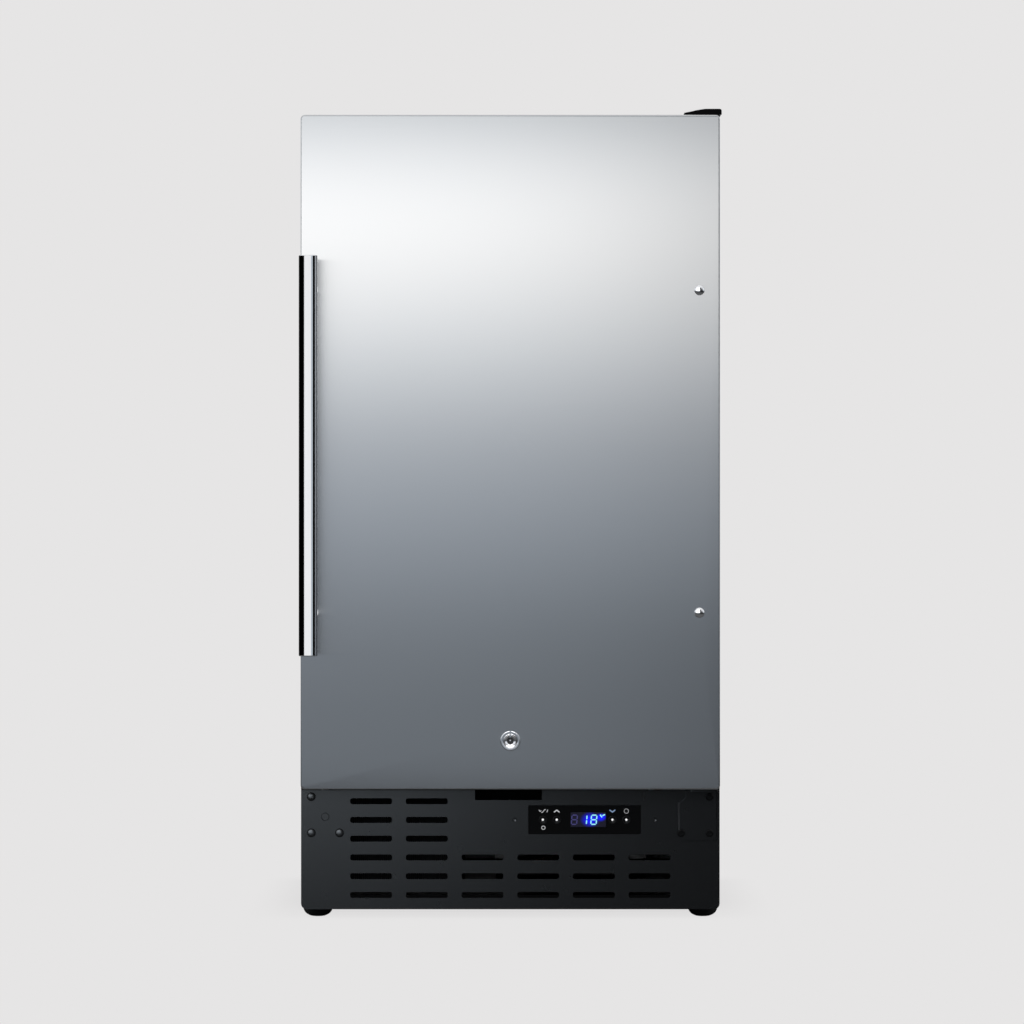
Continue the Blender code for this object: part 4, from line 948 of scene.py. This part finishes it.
def make_shelf_trims():
    """A slim brushed channel along each shelf's front edge."""
    wall = 0.0008
    for number in (1, 2, 3):
        low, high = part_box(f"shelf_glass_{number}")
        edge, depth = low.y - 0.0012, 0.009
        outline = [
            (edge + depth, low.z - wall),
            (edge + 0.001, low.z - wall),
            (edge, low.z - wall + 0.001),
            (edge, high.z + wall - 0.001),
            (edge + 0.001, high.z + wall),
            (edge + depth, high.z + wall),
            (edge + depth, high.z + 0.0001),
            (edge + wall, high.z + 0.0001),
            (edge + wall, low.z - 0.0001),
            (edge + depth, low.z - 0.0001),
        ]
        trim = add_prism(bmesh.new(), "X", outline, low.x + 0.012, high.x - 0.012)
        piece = make_piece(f"shelf_trim_{number}", trim, STAINLESS, "cabinet")
        round_edges(piece, 0.00015, 2)


# Studio


def emission_only(name):
    material = bpy.data.materials.new(name)
    material.use_nodes = True
    tree = material.node_tree
    tree.nodes.remove(tree.nodes["Principled BSDF"])
    glow = tree.nodes.new("ShaderNodeEmission")
    tree.links.new(glow.outputs[0], tree.nodes["Material Output"].inputs["Surface"])
    return material, tree, glow


def separate(tree, kind):
    """The x, y and z of a kind of texture coordinate."""
    axes = tree.nodes.new("ShaderNodeSeparateXYZ")
    tree.links.new(tree.nodes.new("ShaderNodeTexCoord").outputs[kind], axes.inputs[0])
    return axes.outputs


def camera_or_light(tree, shown, lighting):
    """Shows one shader to the camera, and another to the object."""
    path = tree.nodes.new("ShaderNodeLightPath")
    choose = tree.nodes.new("ShaderNodeMixShader")
    tree.links.new(path.outputs["Is Camera Ray"], choose.inputs[0])
    tree.links.new(lighting.outputs[0], choose.inputs[1])
    tree.links.new(shown.outputs[0], choose.inputs[2])
    return choose.outputs[0]


def plain_mesh(name, bm, material):
    mesh = bpy.data.meshes.new(name)
    bm.to_mesh(mesh)
    bm.free()
    mesh.materials.append(material)
    return mesh


def set_ramp(ramp, stops):
    """Fills a colour ramp from (position, colour) stops."""
    elements = ramp.color_ramp.elements
    while len(elements) > 1:
        elements.remove(elements[-1])
    for number, (position, color) in enumerate(stops):
        element = elements[0] if number == 0 else elements.new(position)
        element.position = position
        element.color = (*color, 1.0)


BACKDROP = (0.7913, 0.7835, 0.7835)
# The world as the object sees it, from the horizon (0) to straight up (1)
SKY = ((0.0, (0.05,) * 3), (0.15, (0.06,) * 3), (0.5, (0.7, 0.71, 0.73)), (1.0, (0.95,) * 3))
# Emission strength of the cards. Their ramps hold the glow divided by it.
CARD_STRENGTH = 2.0
# Heights on the front card, in metres, and how bright it glows there
FRONT_GLOW = (
    (-0.02, 0.560),
    (0.035, 0.290),
    (0.113, 0.250),
    (0.164, 0.266),
    (0.260, 0.300),
    (0.356, 0.432),
    (0.453, 0.552),
    (0.549, 0.680),
    (0.645, 1.030),
    (0.741, 1.400),
    (0.816, 1.640),
    (0.876, 1.800),
    (0.936, 1.700),
    (1.000, 1.400),
    (1.060, 0.900),
    (1.300, 0.600),
    (2.400, 0.700),
)
# Places across the front card, in metres, and how much of that glow they show
FRONT_SPREAD = (
    (-2.30, 1.00),
    (-0.50, 1.01),
    (-0.10, 1.05),
    (0.00, 1.07),
    (0.08, 1.04),
    (0.16, 0.99),
    (0.24, 0.90),
    (0.30, 0.70),
    (0.45, 0.36),
    (0.80, 0.16),
    (1.60, 0.06),
)
# The glow's tint at four heights
TINTS = (
    (0.42, (0.905, 1.0, 1.115)),
    (0.80, (1.010, 1.0, 0.985)),
    (0.92, (1.010, 1.0, 0.990)),
    (1.04, (0.965, 1.0, 1.035)),
)
NEUTRAL = (1, 1, 1)
COOL = (0.9, 1.0, 1.1)
LIGHT_DEPTH = -2.2
HANDLE = ("handle_tube", "handle_stand_lower", "handle_stand_upper")
PLUGS = ("hole_plug_lower", "hole_plug_upper")
LOCK = ("lock_ring", "lock_core_plug")
KICK = ("kick_plate", "bottom_hinge", "corner_pan_screw_1", "corner_pan_screw_2", "corner_pan_screw_3")
PANEL_SCREWS = ("panel_screw_1", "panel_screw_2")
# Lights that only some pieces mirror: left, right, bottom and top, radiance, colour, pieces
PANEL_LIGHTS = {
    "handle_strip": ((-2.2, 1.3, -1.2, 2.2), 0.95, NEUTRAL, HANDLE),
    "handle_edge": ((1.3, 3.2, -1.2, 2.2), 0.5, COOL, HANDLE),
    "plug_sparkle": ((-3.0, 0.45, 0.15, 3.0), 1.1, NEUTRAL, PLUGS),
    "lock_sparkle": ((-1.6, 1.6, 1.3, 3.6), 3.0, NEUTRAL, LOCK),
    "softbox": ((-1.30, -0.08, 0.0, 1.0), 4.8, COOL, KICK + PANEL_SCREWS),
}


def tint_at(height):
    heights = [stop for stop, _ in TINTS]
    return [float(np.interp(height, heights, column)) for column in zip(*(tint for _, tint in TINTS))]


def add_profile(tree, along, stops, scale=CARD_STRENGTH, tinted=True):
    """A colour ramp along one axis, from (place, brightness) stops in metres."""
    lowest, highest = stops[0][0], stops[-1][0]
    ramp = tree.nodes.new("ShaderNodeValToRGB")
    tree.links.new(map_range(tree, along, lowest, highest), ramp.inputs[0])
    colors = []
    for spot, bright in stops:
        tint = tint_at(spot) if tinted else NEUTRAL
        color = tuple(bright * channel / scale for channel in tint)
        colors.append(((spot - lowest) / (highest - lowest), color))
    set_ramp(ramp, colors)
    return ramp.outputs["Color"]


def make_card(name, corners, glow, spread=None):
    """An upright glowing card that only the object sees, brighter or darker along its height."""
    bm = bmesh.new()
    bm.faces.new([bm.verts.new(corner) for corner in corners])
    material, tree, emission = emission_only(name)
    axes = separate(tree, "Object")
    tree.links.new(add_profile(tree, axes["Z"], glow), emission.inputs["Color"])
    emission.inputs["Strength"].default_value = CARD_STRENGTH
    if spread:
        across = add_profile(tree, axes["X"], spread, 1 / CARD_STRENGTH, tinted=False)
        tree.links.new(across, emission.inputs["Strength"])
    card = place(name, plain_mesh(name, bm, material))
    card.visible_camera = False
    card.visible_shadow = False
    return card


def make_front_card():
    """The card that the door mirrors."""
    front = -2.3
    left, right, low, high = -2.3, 1.6, -0.02, 2.4
    corners = ((left, front, low), (left, front, high), (right, front, high), (right, front, low))
    return make_card("front_card", corners, FRONT_GLOW, FRONT_SPREAD)


def make_panel_light(name, sides, glow, color):
    """An upright light that faces the object: its sides, its radiance and its colour."""
    left, right, low, high = sides
    data = bpy.data.lights.new(name, "AREA")
    data.shape = "RECTANGLE"
    data.size, data.size_y = right - left, high - low
    data.energy = glow * math.pi * data.size * data.size_y
    data.color = color
    light = place(name, data)
    light.location = ((left + right) / 2, LIGHT_DEPTH, (low + high) / 2)
    light.rotation_euler = (math.pi / 2, 0, 0)
    light.visible_camera = False
    return light


def receivers(name, pieces, state):
    group = bpy.data.collections.new(name)
    for piece in pieces:
        group.objects.link(bpy.data.objects[piece])
    for entry in group.collection_objects:
        entry.light_linking.link_state = state
    return group


def make_world():
    """A pale backdrop to the camera; to the object, light from above and a dark horizon."""
    world = bpy.data.worlds.new("studio")
    bpy.context.scene.world = world
    world.use_nodes = True
    tree = world.node_tree
    shown = tree.nodes["Background"]
    shown.inputs["Color"].default_value = (*BACKDROP, 1.0)
    lighting = tree.nodes.new("ShaderNodeBackground")
    ramp = tree.nodes.new("ShaderNodeValToRGB")
    tree.links.new(separate(tree, "Generated")["Z"], ramp.inputs[0])
    set_ramp(ramp, SKY)
    tree.links.new(ramp.outputs["Color"], lighting.inputs["Color"])
    both = camera_or_light(tree, shown, lighting)
    tree.links.new(both, tree.nodes["World Output"].inputs["Surface"])


def make_floor():
    """A pale floor as bright as the backdrop, with a soft contact shadow beside and behind."""
    bm = bmesh.new()
    bmesh.ops.create_circle(bm, cap_ends=True, radius=60.0, segments=128)
    material, tree, shown = emission_only("pale_floor")
    occlusion = tree.nodes.new("ShaderNodeAmbientOcclusion")
    occlusion.inputs["Distance"].default_value = 0.07
    # None of the shadow in front of the object, and up to a fifth of it behind
    behind = map_range(tree, separate(tree, "Object")["Y"], -0.26, 0.0, 0.0, 0.2)
    shade = tree.nodes.new("ShaderNodeMix")
    shade.data_type = "RGBA"
    shade.inputs[6].default_value = (1, 1, 1, 1)
    tree.links.new(behind, shade.inputs[0])
    tree.links.new(occlusion.outputs["Color"], shade.inputs[7])
    tint = tree.nodes.new("ShaderNodeMix")
    tint.data_type = "RGBA"
    tint.blend_type = "MULTIPLY"
    tint.inputs[0].default_value = 1.0
    tint.inputs[6].default_value = (*BACKDROP, 1.0)
    tree.links.new(shade.outputs[2], tint.inputs[7])
    tree.links.new(tint.outputs[2], shown.inputs["Color"])
    # To the object the floor is a dull grey that fades away from it
    matt = tree.nodes.new("ShaderNodeBsdfDiffuse")
    distance = tree.nodes.new("ShaderNodeVectorMath")
    distance.operation = "LENGTH"
    position = tree.nodes.new("ShaderNodeTexCoord").outputs["Object"]
    tree.links.new(position, distance.inputs[0])
    fade = map_range(tree, distance.outputs["Value"], 0.6, 2.2, 0.16, 0.02)
    tree.links.new(fade, matt.inputs["Color"])
    both = camera_or_light(tree, shown, matt)
    tree.links.new(both, tree.nodes["Material Output"].inputs["Surface"])
    place("floor", plain_mesh("floor", bm, material))


def make_studio():
    make_world()
    make_floor()
    not_the_handle = receivers("not_the_handle", HANDLE, "EXCLUDE")
    cards = [make_front_card()]
    side_glow = ((0.0, 0.25), (0.6, 0.5), (1.2, 0.9), (2.4, 0.9))
    far = 3.2
    for name, start, end in (
        ("left_card", (-far, 2.6), (-far, -2.3)),
        ("right_card", (far, -2.3), (far, 2.6)),
        ("rear_card", (2.2, far), (-2.2, far)),
    ):
        corners = ((*start, 0.0), (*start, 2.4), (*end, 2.4), (*end, 0.0))
        cards.append(make_card(name, corners, side_glow))
    for card in cards:
        card.light_linking.receiver_collection = not_the_handle
    for name, (sides, glow, color, pieces) in PANEL_LIGHTS.items():
        light = make_panel_light(name, sides, glow, color)
        light.light_linking.receiver_collection = receivers(f"{name}_mirrors", pieces, "INCLUDE")


def make_camera():
    data = bpy.data.cameras.new("camera")
    data.sensor_width = SENSOR_WIDTH
    data.lens = SENSOR_WIDTH * FACE_DISTANCE / FRAME_WIDTH
    data.clip_end = 200.0
    camera = place("camera", data)
    camera.location = CAMERA_PLACE
    camera.rotation_euler = (math.pi / 2, 0, 0)
    bpy.context.scene.camera = camera
    bpy.context.scene.view_settings.view_transform = "Standard"


dress_frame()
make_handle()
make_hole_plugs()
make_lock()
make_gasket()
make_front_screws()
make_front_marks()
make_rear_screws()
make_feet()
make_buttons()
make_icons()
make_display()
make_shelf_trims()
make_camera()
make_studio()
